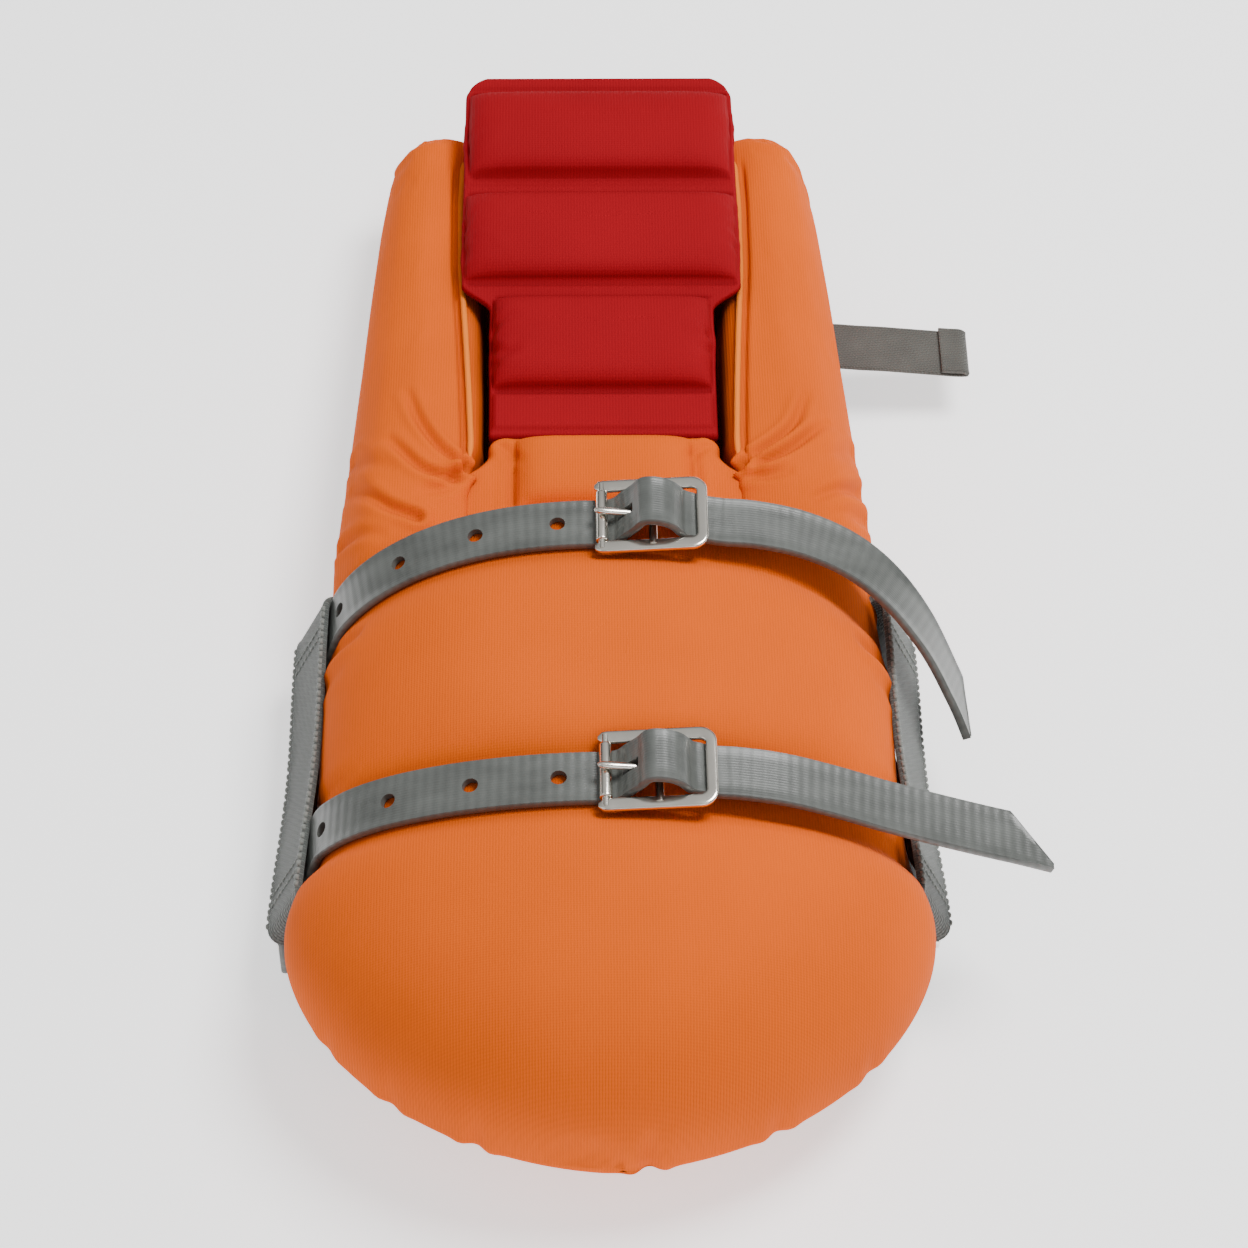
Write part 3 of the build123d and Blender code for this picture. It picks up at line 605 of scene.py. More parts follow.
# ---- Knee cushion ----
CUSHION_ROWS = [  # (y, half-width, top z) from the ankle end to where the knee end rounds off
    (28, 56, 52), (25, 72, 68), (20, 80, 79), (12, 84, 83), (0, 86, 86), (-14, 87.5, 87.5),
    (-30, 88, 88), (-50, 88, 88), (-66, 87.5, 87.5), (-80, 89.5, 87), (-92, 95, 87),
    (-100, 98, 86.5),
]
CUSHION_END_Y, CUSHION_LOW_Z = 28.0, SOLE_RIM + 0.6
NOSE_DEPTH = TOE_CENTRE_Y - TOE_Y


def cushion_section(half, top, side_z, bottom, columns):
    """Closed cross-section: a crowned top, a bulging side and a flat underside."""
    angle = np.linspace(0, 2 * math.pi, columns, endpoint=False)
    c, s = np.cos(angle), np.sin(angle)
    up = s >= 0
    bulge = np.where(up, 2 / 2.25, 2 / 2.7)
    x = half * np.sign(c) * np.abs(c) ** bulge
    z = side_z + np.where(up, (top - side_z) * np.abs(s) ** bulge,
                          -(side_z - bottom) * np.abs(s) ** bulge)
    return x, z


def make_knee_cushion():
    columns = 168
    rings = []
    for y in np.linspace(CUSHION_END_Y, TOE_CENTRE_Y + 0.5, 74):
        half, top = table(CUSHION_ROWS[::-1], y)
        x, z = cushion_section(half, top, 35.0, CUSHION_LOW_Z, columns)
        rings.append(np.column_stack([x, np.full(columns, y), z]))
    half, top = table(CUSHION_ROWS[::-1], TOE_CENTRE_Y)
    for turn in np.linspace(0.02, 0.5, 46, endpoint=False) * math.pi:
        reach = math.sin(turn)
        plan = math.sqrt(max(1 - reach ** 2, 0))
        rise = max(1 - reach ** 2.5, 0) ** (1 / 2.5)
        side = 27 + 6 * rise
        x, z = cushion_section(half * plan, side + (top - side) * rise, side,
                               side - 0.5 - (side - 0.5 - CUSHION_LOW_Z) * rise ** 0.35, columns)
        rings.append(np.column_stack([x, np.full(columns, TOE_CENTRE_Y - NOSE_DEPTH * reach), z]))
    obj = ring_loft("knee_cushion", rings)
    co = coords(obj)
    held = np.zeros(len(co))
    for ring in RINGS.values():
        co, k = ring.pinch(co, 8.0)
        held = np.maximum(held, k)
    held = np.maximum(held, smooth(26, 21, co[:, 2]))
    set_coords(obj, co)
    puff(obj, np.clip(held, 0, 1), cap=3.5)
    subdivide(obj, 1)
    co = coords(obj)
    for ring in RINGS.values():
        co, _ = ring.pinch(co, 1.2)
    set_coords(obj, co)
    press_creases(obj, cushion_creases())
    finish_piece(obj, "orange_fabric")
    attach(obj, "pad_body")
    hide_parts("knee_cushion_cover", "knee_cushion_foam")


def cushion_creases():
    """Gathers where the upper lobe is pinched, and pleats along the knee end's lower seam."""
    creases = []
    for side, y in ((-1, -9), (1, -13)):
        for points, depth, half in (
                ([(89, y - 4, 44), (84, y - 3, 54), (74, y - 5, 64)], 3.2, 2.6),
                ([(90, y - 15, 42), (86, y - 15, 52), (80, y - 17, 60)], 0.9, 2.4),
                ([(90, -66, 42), (84, -66, 54), (76, -67, 64)], 0.9, 3.0)):
            creases.append(([(side * a, b, c) for a, b, c in points], depth, half))
    for degrees, depth in ((-58, 0.6), (-41, 0.9), (-24, 1.3), (6, 1.5), (29, 1.2), (50, 0.8)):
        angle = math.radians(degrees)
        x, y = 98 * math.sin(angle), TOE_CENTRE_Y - NOSE_DEPTH * math.cos(angle)
        creases.append(([(x, y, 24), (x * 0.995, y, 33), (x * 0.96, y + 3, 46)], depth, 2.4))
    return creases


# ---- Shoulders and wings ----
SIDE_ROWS = [  # (y, outer x, crest z, seam x, seam z, inner x, foot x)
    (0, 84.5, 57, 43.2, 55.5, 43.2, 43.2),
    (14, 86, 60, 43.2, 56, 43.2, 43.2),
    (30, 86, 61, 43.2, 56.2, 43.2, 43.2),
    (48, 84.5, 61.5, 43.4, 56.3, 43.2, 43),
    (57, 83.6, 61.5, 43.0, 57, 42.0, 41),
    (66, 83, 60.5, 42.6, 57, 38.9, 38.9),
    (90, 81.4, 57.5, 43.6, 54.5, 38.7, 38.9),
    (115, 79.8, 54, 44.9, 52, 39.0, 38.9),
    (150, 77.6, 51, 47.0, 48.5, 40.6, 39),
    (180, 75.2, 50, 47.4, 47, 43, 40),
    (200, 73.2, 49, 47.0, 45, 45, 42),
    (211, 71.6, 47.5, 46.6, 44, 45, 43),
    (217, 69.5, 44.5, 46.6, 42, 45, 44),
]
SIDE_CREASES = {  # plan points (x, y), depth, half-width; the first point is the deepest
    1: [([(43.4, 55.5), (44.6, 59)], 4.5, 1.4),
        ([(44.5, 55), (52, 56.5), (60, 61), (73, 76)], 2.6, 1.6),
        ([(45.5, 58), (54, 64), (61, 72), (66, 88)], 2.2, 1.6),
        ([(44.5, 52), (52, 50), (60, 51)], 1.6, 1.8),
        ([(84, 58), (77, 48), (64, 38.5)], 2.2, 1.8),
        ([(84, 44), (78, 38), (70, 33)], 1.2, 1.8),
        ([(82, 74), (76, 64), (68, 56)], 1.3, 2.0)],
    -1: [([(43.4, 55), (44.6, 59)], 4.5, 1.5),
         ([(44.5, 53), (50, 50.5), (58, 53), (70, 68)], 2.8, 1.6),
         ([(44.5, 56), (52, 62), (59, 74), (64, 90)], 2.4, 1.6),
         ([(46, 50), (52, 45), (60, 43)], 1.4, 1.8),
         ([(59, 33), (68, 37.5), (76, 46), (82, 56)], 2.4, 1.8),
         ([(84, 34), (77, 30), (68, 26)], 1.4, 1.8),
         ([(82, 70), (74, 58), (66, 52)], 1.3, 2.0)],
}


def side_section(values, columns):
    """Closed cross-section of a right-hand shoulder or wing."""
    outer, crest, seam_x, seam_z, inner, foot = values
    wall = seam_z - WING_HINGE_Z
    points = [
        (WING_HINGE_X, WING_HINGE_Z + 0.2),
        (foot + 4, WING_HINGE_Z + 2.6),
        (foot + 0.4, WING_HINGE_Z + 0.24 * wall),
        (inner, seam_z - 0.34 * wall),
        (0.8 * inner + 0.2 * seam_x, seam_z - 0.15 * wall),
        (0.35 * inner + 0.65 * seam_x, seam_z - 1.2),
        (seam_x, seam_z),
        (seam_x + 2.4, seam_z + 0.35 * (crest - seam_z)),
        (0.72 * seam_x + 0.28 * outer, crest - 0.6),
        (0.5 * seam_x + 0.5 * outer, crest),
        (0.26 * seam_x + 0.74 * outer, crest - 2.6),
        (outer - 3.2, crest - 0.28 * wall - 4),
        (outer, 0.5 * (crest + WING_HINGE_Z) - 2.5),
        (outer - 1.2, WING_HINGE_Z + 5.8),
        (outer - 6, WING_HINGE_Z + 2.7),
        (WING_HINGE_X, WING_HINGE_Z + 0.2),
    ]
    return curve_through(points, columns + 1)[:-1]


def seam_at(y):
    """The inner seam's x and z, and the inner wall's x, at places along a wing."""
    return table(SIDE_ROWS, y)[2:5]


def make_side(side, name, body):
    columns = 96
    rows = []
    ys = np.concatenate([np.linspace(0, 200, 92), np.linspace(202, 217, 10)])
    for y in ys:
        section = side_section(table(SIDE_ROWS, y), columns)
        rows.append(np.column_stack([side * section[:, 0], np.full(columns, y), section[:, 1]]))
    obj = ring_loft(name, rows)
    co = coords(obj)
    seam_x, seam_z, inner = seam_at(co[:, 1])
    from_seam = np.hypot(np.abs(co[:, 0]) - seam_x, co[:, 2] - seam_z)
    held = smooth(9, 3, from_seam)
    held = np.maximum(held, smooth(27, 22, co[:, 2]))
    held = np.maximum(held, smooth(22, 8, co[:, 1]))
    held = np.maximum(held, smooth(3, 0.5, np.abs(co[:, 0]) - inner))
    puff(obj, held, cap=2.6)
    co = coords(obj)
    co, _ = UPPER.pinch(co, 6.0)
    set_coords(obj, co)
    subdivide(obj, 1)
    press_seam(obj)
    press_plan_creases(obj, side, SIDE_CREASES[side])
    finish_piece(obj, "orange_fabric")
    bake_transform(obj)
    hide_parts(*[f"{body.split('_')[0]}_{part}" for part in ("side_pad", "wing_cover", "wing_foam")])


def press_seam(obj):
    """A groove along the outer side of a wing's inner seam, where its piping is sewn in."""
    co = coords(obj)
    no = normals(obj)
    seam_x, seam_z, _ = seam_at(co[:, 1])
    across = np.abs(co[:, 0]) - seam_x
    along = smooth(56, 63, co[:, 1]) * smooth(206, 190, co[:, 1])
    top = smooth(7, 3, np.abs(co[:, 2] - seam_z)) * along
    ridge = 0.5 * np.exp(-(across / 0.8) ** 2) - 1.6 * np.exp(-((across - 2.1) / 1.0) ** 2)
    co = co + no * (ridge * top)[:, None]
    set_coords(obj, co)


PIPING_START_Y, PIPING_END_Y, PIPING_RADIUS, PIPING_RISE = 59.0, 203.0, 1.05, 0.7


def make_wing_piping(side, name):
    """The folded edge sewn along a wing's inner seam, in a lighter orange than the knit as a painted
    highlight.
    """
    ys = np.linspace(PIPING_START_Y, PIPING_END_Y, 120)
    seam_x, seam_z, _ = seam_at(ys)
    path = np.column_stack([side * seam_x, ys, seam_z + PIPING_RISE])
    _, across, out = path_frames(path, (1, 0, 0))
    cos, sin = around(12)
    radius = PIPING_RADIUS * np.sqrt(np.clip(np.minimum(ys - ys[0], ys[-1] - ys) / 4, 0.02, 1))
    rings = path[:, None] + radius[:, None, None] * (
        across[:, None] * cos + out[:, None] * sin)
    obj = ring_loft(name, rings)
    finish_piece(obj, "orange_fabric", PAINTED_HIGHLIGHT_BINDING)
    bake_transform(obj)


def press_plan_creases(obj, side, creases):
    """Folds on the upward faces of a piece, given in plan."""
    co = coords(obj)
    no = normals(obj)
    shift = np.zeros(len(co))
    upward = smooth(0.05, 0.35, no[:, 2])
    fade = np.linspace(1, 0, 50) ** 0.5
    for points, depth, half in creases:
        path = curve_through([(side * x, y) for x, y in points], len(fade))
        near = np.flatnonzero((co[:, 0] * side > 30) & (co[:, 1] > path[:, 1].min() - 8 * half)
                              & (co[:, 1] < path[:, 1].max() + 8 * half))
        fold = fold_shape(co[near, :2], path, half, fade, 0.5, 2.0)
        shift[near] += depth * upward[near] * fold
    set_coords(obj, co + no * shift[:, None])


# ---- Flat-bottomed pads ----
def edge_drop(distance, radius):
    """How far a rounded edge falls, at a distance in from it."""
    d = np.clip(distance, 0, radius)
    return radius - np.sqrt(np.maximum(radius ** 2 - (radius - d) ** 2, 0))


def slab(name, ys, half_at, top_at, under, columns=70):
    """A pad whose top is a height over (x, y). under is its right lower profile as
    (x or None for the rim, z) from the rim inwards."""
    rings = []
    turn = np.linspace(-math.pi / 2, math.pi / 2, columns)
    for y in ys:
        half = half_at(y)
        x = half * np.sin(turn)
        top = top_at(x, np.full(columns, y), half)
        right = [(half if px is None else min(px, half - 0.3), z) for px, z in under]
        low = np.array(right + [(-px, z) for px, z in reversed(right)])
        ring = np.vstack([np.column_stack([x, top]), low])
        rings.append(np.column_stack([ring[:, 0], np.full(len(ring), y), ring[:, 1]]))
    return ring_loft(name, rings)


TAB_START_Y, TAB_END_Y, TAB_TOP_Z = 24.0, 70.6, 56.2
TAB_BAR_HALF, TAB_BAR_START, TAB_BAR_END, TAB_BAR_RISE = 28.5, 39.0, 68.6, 6.5


def tab_half(y):
    return 45.4 - 8.4 * smooth(51, 64, y) - edge_drop(TAB_END_Y - y, 5.0)


def tab_top(x, y, half):
    side = half - np.abs(x)
    z = TAB_TOP_Z - edge_drop(side, 0.4 + 3.6 * smooth(51, 58, y))
    z = z - edge_drop(TAB_END_Y - y + 0.1, 4.0)
    u = np.abs(2 * y - TAB_BAR_START - TAB_BAR_END) / (TAB_BAR_END - TAB_BAR_START)
    v = np.abs(x) / TAB_BAR_HALF
    bar = np.clip(1 - u ** 5, 0, 1) ** 0.7 * np.clip(1 - v ** 7, 0, 1) ** 0.8
    return z + TAB_BAR_RISE * bar


def make_tab():
    ys = np.r_[np.linspace(TAB_START_Y, 66, 110), np.linspace(66.2, TAB_END_Y - 0.05, 16)]
    obj = slab("ankle_tab_cover", ys, tab_half, tab_top,
               [(None, 50.0), (None, 40.0), (40, FLOOR_Z + 0.6)], 110)
    press_creases(obj, [([(-29, 36, 56), (0, 35, 56), (29, 36, 56)], 0.7, 1.6),
                        ([(-29.5, 40, 56), (-29.5, 52, 56), (-29, 64, 56)], 0.8, 1.4),
                        ([(29.5, 40, 56), (29.5, 52, 56), (29, 64, 56)], 0.8, 1.4),
                        ([(-33, 66, 56), (-28, 60, 57), (-24, 55, 60)], 0.8, 1.6),
                        ([(34, 66, 56), (28, 61, 57), (25, 56, 60)], 0.7, 1.6)])
    finish_piece(obj, "orange_fabric")
    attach(obj, "pad_body")
    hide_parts("ankle_tab")


FLOOR_Z = 38.0
CHANNEL_START_Y, CHANNEL_HALF = 25.0, 35.5
LINER_LOW_Z, LINER_CHAMFER_Z, LINER_TOP_Z = 6.2, 12.0, 20.2
LINER_ROWS = [  # (y, half-width)
    (-148, 40), (-139, 60), (-122, 78), (-97, 91), (-10, 83), (20, 80), (27, 79), (60, 77),
    (148, 71), (200, 66), (212, 55),
]


def make_liner():
    """Foam in the sole's tray, with the raised floor of the shin channel."""
    rings = []
    for y in np.linspace(LINER_ROWS[0][0], LINER_ROWS[-1][0], 120):
        half = table(LINER_ROWS, y)[0]
        top = FLOOR_Z if y > CHANNEL_START_Y else LINER_TOP_Z + 0.1
        inner = min(CHANNEL_HALF, half - 1)
        right = [(half - 7, LINER_LOW_Z), (half, LINER_CHAMFER_Z), (half, LINER_TOP_Z),
                 (inner + 0.2, LINER_TOP_Z + 0.05), (inner, top)]
        ring = np.array(right + [(-x, z) for x, z in reversed(right)])
        rings.append(np.column_stack([ring[:, 0], np.full(len(ring), y), ring[:, 1]]))
    obj = ring_loft("channel_liner", rings)
    obj.data.set_sharp_from_angle(angle=math.radians(35))
    finish_piece(obj, "orange_fabric")
    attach(obj, "pad_body")
    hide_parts("liner_base")


# ---- Shin pad ----
SHIN_START_Y, SHIN_END_Y, SHIN_FACE_Z = 71.0, 230.5, 53.3
SHIN_RIBS = [(92, 130, 35.8), (138, 175.5, 45.3), (184.5, 221.5, 44.3)]
RIB_HEIGHT = 7.4
SHIN_FOAM_END_Y = 219.0
SHIN_TILT, SHIN_TILT_START_Y = 0.045, 95.0


def shin_half(y):
    half = 37.0 + 9.5 * smooth(126, 137, y) - 0.6 * smooth(150, 229, y)
    return half - edge_drop(SHIN_END_Y - y, 10.0) - edge_drop(y - SHIN_START_Y, 1.5)


def shin_top(x, y, half):
    rim = np.minimum(np.minimum(half - np.abs(x), SHIN_END_Y - y), y - SHIN_START_Y)
    z = SHIN_FACE_Z - edge_drop(rim, 1.3)
    for start, end, rib_half in SHIN_RIBS:
        u = np.abs(2 * y - start - end) / (end - start)
        v = np.abs(x) / rib_half
        z = z + RIB_HEIGHT * np.clip(1 - u ** 3.4, 0, 1) ** 0.5 * np.clip(1 - v ** 9, 0, 1) ** 0.5
        seam = np.exp(-((y - start + 0.5) / 0.8) ** 2) + np.exp(-((y - end - 0.5) / 0.8) ** 2)
        z = z - 1.1 * seam * smooth(rib_half + 0.5, rib_half - 1.5, np.abs(x))
    z = z + 1.1 * smooth(74.5, 76, y) * smooth(90.5, 89, y) * smooth(0.5, 2.5, half - np.abs(x))
    z = z + 0.9 * np.exp(-((y - 73.0) / 1.0) ** 2)
    z = z - 0.7 * np.exp(-((y - 182.0) / 1.5) ** 2) - 0.5 * np.exp(-((y - 224.5) / 1.0) ** 2)
    return z


def shin_raise(y):
    """How far the pad stands up off the channel towards its free end."""
    return SHIN_TILT * np.maximum(y - SHIN_TILT_START_Y, 0)


def make_shin_pad():
    ys = np.r_[np.linspace(SHIN_START_Y, 221, 190), np.linspace(221.6, SHIN_END_Y - 0.05, 20)]
    obj = slab("shin_pad_cover", ys, shin_half, shin_top,
               [(None, 51.4), (37.2, 51.0), (36.8, 45.0), (35.5, FLOOR_Z + 0.6)], 90)
    co = coords(obj)
    under_z = FLOOR_Z + 0.6 + 12.0 * smooth(SHIN_FOAM_END_Y - 2, SHIN_FOAM_END_Y + 2, co[:, 1])
    co[:, 2] = np.maximum(co[:, 2], under_z)
    co[:, 2] += shin_raise(co[:, 1]) * smooth(46, 51, co[:, 2])
    set_coords(obj, co)
    held = smooth(SHIN_FACE_Z + 5.0, SHIN_FACE_Z + 2.0, co[:, 2] - shin_raise(co[:, 1]))
    puff(obj, held, cap=1.2)
    creases = []
    for start, end, rib_half in SHIN_RIBS:
        for side in (-1, 1):
            for _ in range(3):
                y = RNG.uniform(start + 8, end - 6)
                x = side * rib_half
                creases.append(([(x * 0.98, y, 57), (x * 0.86, y + RNG.uniform(-4, 4), 60),
                                 (x * 0.72, y + RNG.uniform(-5, 5), 60)], 0.6, 1.8))
    press_creases(obj, creases)
    finish_piece(obj, "red_fabric")
    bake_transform(obj)
    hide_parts("shin_pad_foam", "shin_pad_backing", "shin_rib_lower", "shin_rib_middle",
                "shin_rib_upper", "shin_band")


# ---- Straps ----
def path_frames(path, across_hint=(0, 1, 0)):
    run = np.gradient(path, axis=0)
    run /= np.linalg.norm(run, axis=1, keepdims=True)
    hint = np.asarray(across_hint, float)
    across = hint - run * (run @ hint)[:, None]
    across /= np.linalg.norm(across, axis=1, keepdims=True)
    return run, across, np.cross(run, across)


def strip(name, points, width, thickness, count, tip_cut=0.0, bead=0.12, hint=(0, 1, 0)):
    """Flat strap along the points, with slightly thicker edges and an optional slanted tip."""
    path = curve_through(points, count)
    _, across, out = path_frames(path, hint)
    h = width / 2
    a = np.array([-h, -h + 0.2, -h + 0.6, -h + 1.2, -h + 1.9, -0.5 * h, 0, 0.5 * h,
                  h - 1.9, h - 1.2, h - 0.6, h - 0.2, h])
    lift = np.array([0, 0.7, 1 + bead, 1 + bead, 0.94, 0.92, 0.92, 0.92, 0.94, 1 + bead,
                     1 + bead, 0.7, 0])
    a_loop = np.r_[a, a[-2:0:-1]]
    b_loop = np.r_[lift, -lift[-2:0:-1]] * thickness / 2
    lengths = run_lengths(path)
    left = lengths[-1] - lengths
    rings, uv = [], []
    for i in range(count):
        reach = 2 * h
        if tip_cut:
            reach = 1.6 + (2 * h - 1.6) * min(left[i] / tip_cut, 1)
        a_row = -h + (a_loop + h) * reach / (2 * h)
        rings.append(path[i] + across[i] * a_row[:, None] + out[i] * b_loop[:, None])
        uv.append(np.column_stack([np.full(len(a_row), lengths[i]), a_row]) * MM)
    return ring_loft(name, rings, np.vstack(uv))


def cut_with(obj, cutters):
    """Cuts the given bodies out of a piece."""
    cutter = join(f"{obj.name}_cutter", cutters)
    modifier = obj.modifiers.new("cut", "BOOLEAN")
    modifier.operation = "DIFFERENCE"
    modifier.object = cutter
    modifier.solver = "EXACT"
    bpy.context.view_layer.update()
    apply_modifiers(obj)
    bpy.data.objects.remove(cutter)
    shade_smooth(obj.data)
    obj.data.set_sharp_from_angle(angle=math.radians(42))


def peg(origin, direction, radius, length, sides=40):
    """Cylinder centred on a point."""
    direction = np.asarray(direction, float) / np.linalg.norm(direction)
    helper = np.array([0, 1.0, 0]) if abs(direction[1]) < 0.9 else np.array([1.0, 0, 0])
    u = np.cross(direction, helper)
    u /= np.linalg.norm(u)
    v = np.cross(direction, u)
    centres = [np.asarray(origin) + direction * end * length / 2 for end in (-1, 1)]
    return oval_tube("peg", centres, u, v, [(radius, radius)] * 2, sides)


def block(low, high):
    x0, y0, z0 = low
    x1, y1, z1 = high
    rings = [[(x, y0, z0), (x, y1, z0), (x, y1, z1), (x, y0, z1)] for x in (x0, x1)]
    return ring_loft("block", rings)


def hole_places(ring):
    """(centre, outward direction) of the adjusting holes, one pitch apart along the arch."""
    places = []
    here, walked = np.array(ring.over(FIRST_HOLE_X)), HOLE_PITCH
    while len(places) < HOLE_COUNT:
        ahead = np.array(ring.over(here[0] - 0.5))
        step = np.linalg.norm(ahead - here)
        walked += step
        if walked >= HOLE_PITCH:
            places.append((ahead, np.cross((ahead - here) / step, (0, -1, 0))))
            walked = 0.0
        here = ahead
    return places


def make_buckled_strap(ring, name):
    """Perforated strap with its loose tail in one run."""
    wrap = CENTRE_BAR_R + STRAP_T + LAYER + 0.3
    top = ring.bar_z(BUCKLE_X) + wrap - ring.arch(BUCKLE_X)
    through = [(-8, 0), (ROLLER_X, 0), (2.5, 1.2), (5.5, 4.6), (8.5, 8.0), (11, top - 0.6),
               (BUCKLE_X, top), (17.5, top - 0.6), (20, top - 1.9), (23, 6.9),
               (26, 2 * LAYER + 0.6), (END_BAR_X, 2 * LAYER), (TAIL_X, 2 * LAYER)]
    points = ring.left_flank() + [ring.over(x) for x in range(-56, -8, 8)]
    points += [ring.over(x, lift) for x, lift in through]
    points += [ring.over(TAIL_X + 3, 2 * LAYER + 0.3)] + TAILS[name]
    obj = strip(f"{name}_belt", points, STRAP_WIDTH, STRAP_T, 330, tip_cut=13.0)
    bar_z = ring.bar_z(BUCKLE_X)
    cutters = [peg(centre, out, HOLE_R, 9) for centre, out in hole_places(ring)]
    cutters.append(block((3.5, ring.crown_y - 1.6, bar_z - 1.6),
                         (10.5, ring.crown_y + 1.6, bar_z + 4.0)))
    cut_with(obj, cutters)
    finish_piece(obj, "strap_grey")
    start = [v * MM for v in ring.over(TAIL_X, 2 * LAYER)]
    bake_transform(obj)
    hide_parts(f"{name}_strap", f"{name}_strap_tail")


def make_anchor_strap(ring, name):
    """Plain strap whose end folds round the centre bar and lies under itself."""
    cx, cy, cz = BUCKLE_X, ring.crown_y, ring.bar_z(BUCKLE_X)
    radius = CENTRE_BAR_R + 0.15 + STRAP_T / 2
    wrap = [(cx + radius * math.cos(math.radians(a)), cy, cz + radius * math.sin(math.radians(a)))
            for a in range(-60, -301, -30)]
    fold_back = [ring.over(x, lift) for x, lift in ((FOLD_BACK_X, 0), (34, 0), (26, 0), (20, 0.6))]
    above = [(18.5, 6.1), (22, 4.0), (25.5, LAYER + 0.15), (END_BAR_X, LAYER), (36, LAYER),
             (44, LAYER), (52, 0.2)]
    points = fold_back + wrap + [ring.over(x, lift) for x, lift in above] + ring.flank()
    obj = strip(f"{name}_fixed_belt", points, STRAP_WIDTH, STRAP_T, 260)
    cutters = [peg((cx, cy, cz), (0, 1, 0), radius + STRAP_T / 2 - 0.6, 3.2),
               block((8.0, cy - 1.6, cz - 1.6), (BUCKLE_X, cy + 1.6, cz + 2.7))]
    cut_with(obj, cutters)
    finish_piece(obj, "strap_grey")
    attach(obj, "pad_body")
    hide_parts(f"{name}_anchor_strap")


# ---- Buckles ----
FRAME_HALF, FRAME_SIDE, FRAME_END, FRAME_T, FRAME_CORNER = 13.9, 4.2, 3.3, 1.9, 3.6
FRAME_START, FRAME_SQUARENESS, ROLLER_BAR_R = -2.2, 0.55, 1.2
ROLLER_R, ROLLER_HALF = 1.9, 9.4
PRONG_HALF_T, PRONG_GAP = 1.1, 0.15
PRONG_ROWS = [  # (distance from the centre bar, half-width, half-thickness)
    (1.6, 0.9, 0.7), (3.0, 1.25, 1.0), (8.0, 1.2, 1.0), (13.0, 1.25, 0.95), (16.5, 1.15, 0.9),
    (17.6, 0.8, 0.65), (18.0, 0.3, 0.3),
]
EYE_R, EYE_HALF_T, EYE_HALF_WIDTH = 2.05, 0.52, 1.3


def buckle_axes(ring):
    """Places of the roller and the centre bar, and unit directions along, across and up."""
    roller = np.array([ROLLER_X, ring.crown_y, ring.bar_z(ROLLER_X)])
    end = np.array([END_BAR_X, ring.crown_y, ring.bar_z(END_BAR_X)])
    along = (end - roller) / np.linalg.norm(end - roller)
    centre = roller + along * ((BUCKLE_X - ROLLER_X) / along[0])
    across = np.array([0, 1.0, 0])
    return roller, centre, along, across, np.cross(along, across)


def squared(values):
    """Turns a cosine or sine into that of a circle with squared shoulders."""
    return np.sign(values) * np.abs(values) ** FRAME_SQUARENESS


def make_buckle_frame(ring, name):
    """Flat frame, open under the roller, with its roller bar and centre bar."""
    roller, centre, along, across, up = buckle_axes(ring)
    length = (END_BAR_X - ROLLER_X) / along[0]
    side_y = FRAME_HALF - FRAME_SIDE / 2
    corner_x, corner_y = length - FRAME_CORNER + 0.1, side_y - FRAME_CORNER
    half_path = [(x, side_y) for x in np.linspace(FRAME_START, corner_x - 0.6, 24)]
    half_path += [(corner_x + math.sin(a) * FRAME_CORNER, corner_y + math.cos(a) * FRAME_CORNER)
                  for a in np.linspace(0, math.pi / 2, 12)]
    path = np.array(half_path + [(x, -y) for x, y in reversed(half_path)])
    rows = len(path)
    step = np.gradient(path, axis=0)
    step /= np.linalg.norm(step, axis=1, keepdims=True)
    normal = np.column_stack([-step[:, 1], step[:, 0]])
    width = FRAME_END + (FRAME_SIDE - FRAME_END) * np.abs(step[:, 0])
    end_run = np.minimum(np.arange(rows), np.arange(rows)[::-1])
    close = np.sqrt(np.clip(1 - (1 - np.minimum(end_run / 2.0 + 0.05, 1)) ** 2, 0.02, 1))
    cos, sin = around(28)
    rings = []
    for i in range(rows):
        flat = path[i] + normal[i] * squared(cos) * (width[i] / 2 * close[i])
        rings.append(roller + along * flat[:, :1] + across * flat[:, 1:]
                     + up * squared(sin) * (FRAME_T / 2 * close[i]))
    plate = ring_loft("plate", rings)
    bars = [plate, peg(roller, across, ROLLER_BAR_R, 2 * side_y + 1.5, 28),
            peg(centre, across, CENTRE_BAR_R, 2 * side_y, 28)]
    obj = join(f"{name}_buckle_body", bars)
    obj.data.set_sharp_from_angle(angle=math.radians(50))
    finish_piece(obj, "nickel")
    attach(obj, "pad_body")
    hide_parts(f"{name}_buckle_frame")


def make_roller(ring, name):
    roller, _, along, across, up = buckle_axes(ring)
    end = [(-ROLLER_HALF, ROLLER_R - 0.55), (-ROLLER_HALF, ROLLER_R - 0.3),
           (0.2 - ROLLER_HALF, ROLLER_R - 0.05), (0.6 - ROLLER_HALF, ROLLER_R)]
    rows = end + [(-y, r) for y, r in reversed(end)]
    tube = oval_tube(f"{name}_roller_tube", [roller + across * y for y, _ in rows], along, up,
                     [(r, r) for _, r in rows], 40)
    tube.data.set_sharp_from_angle(angle=math.radians(60))
    finish_piece(tube, "nickel")
    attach(tube, f"{name}_roller")
    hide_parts(f"{name}_buckle_roller")


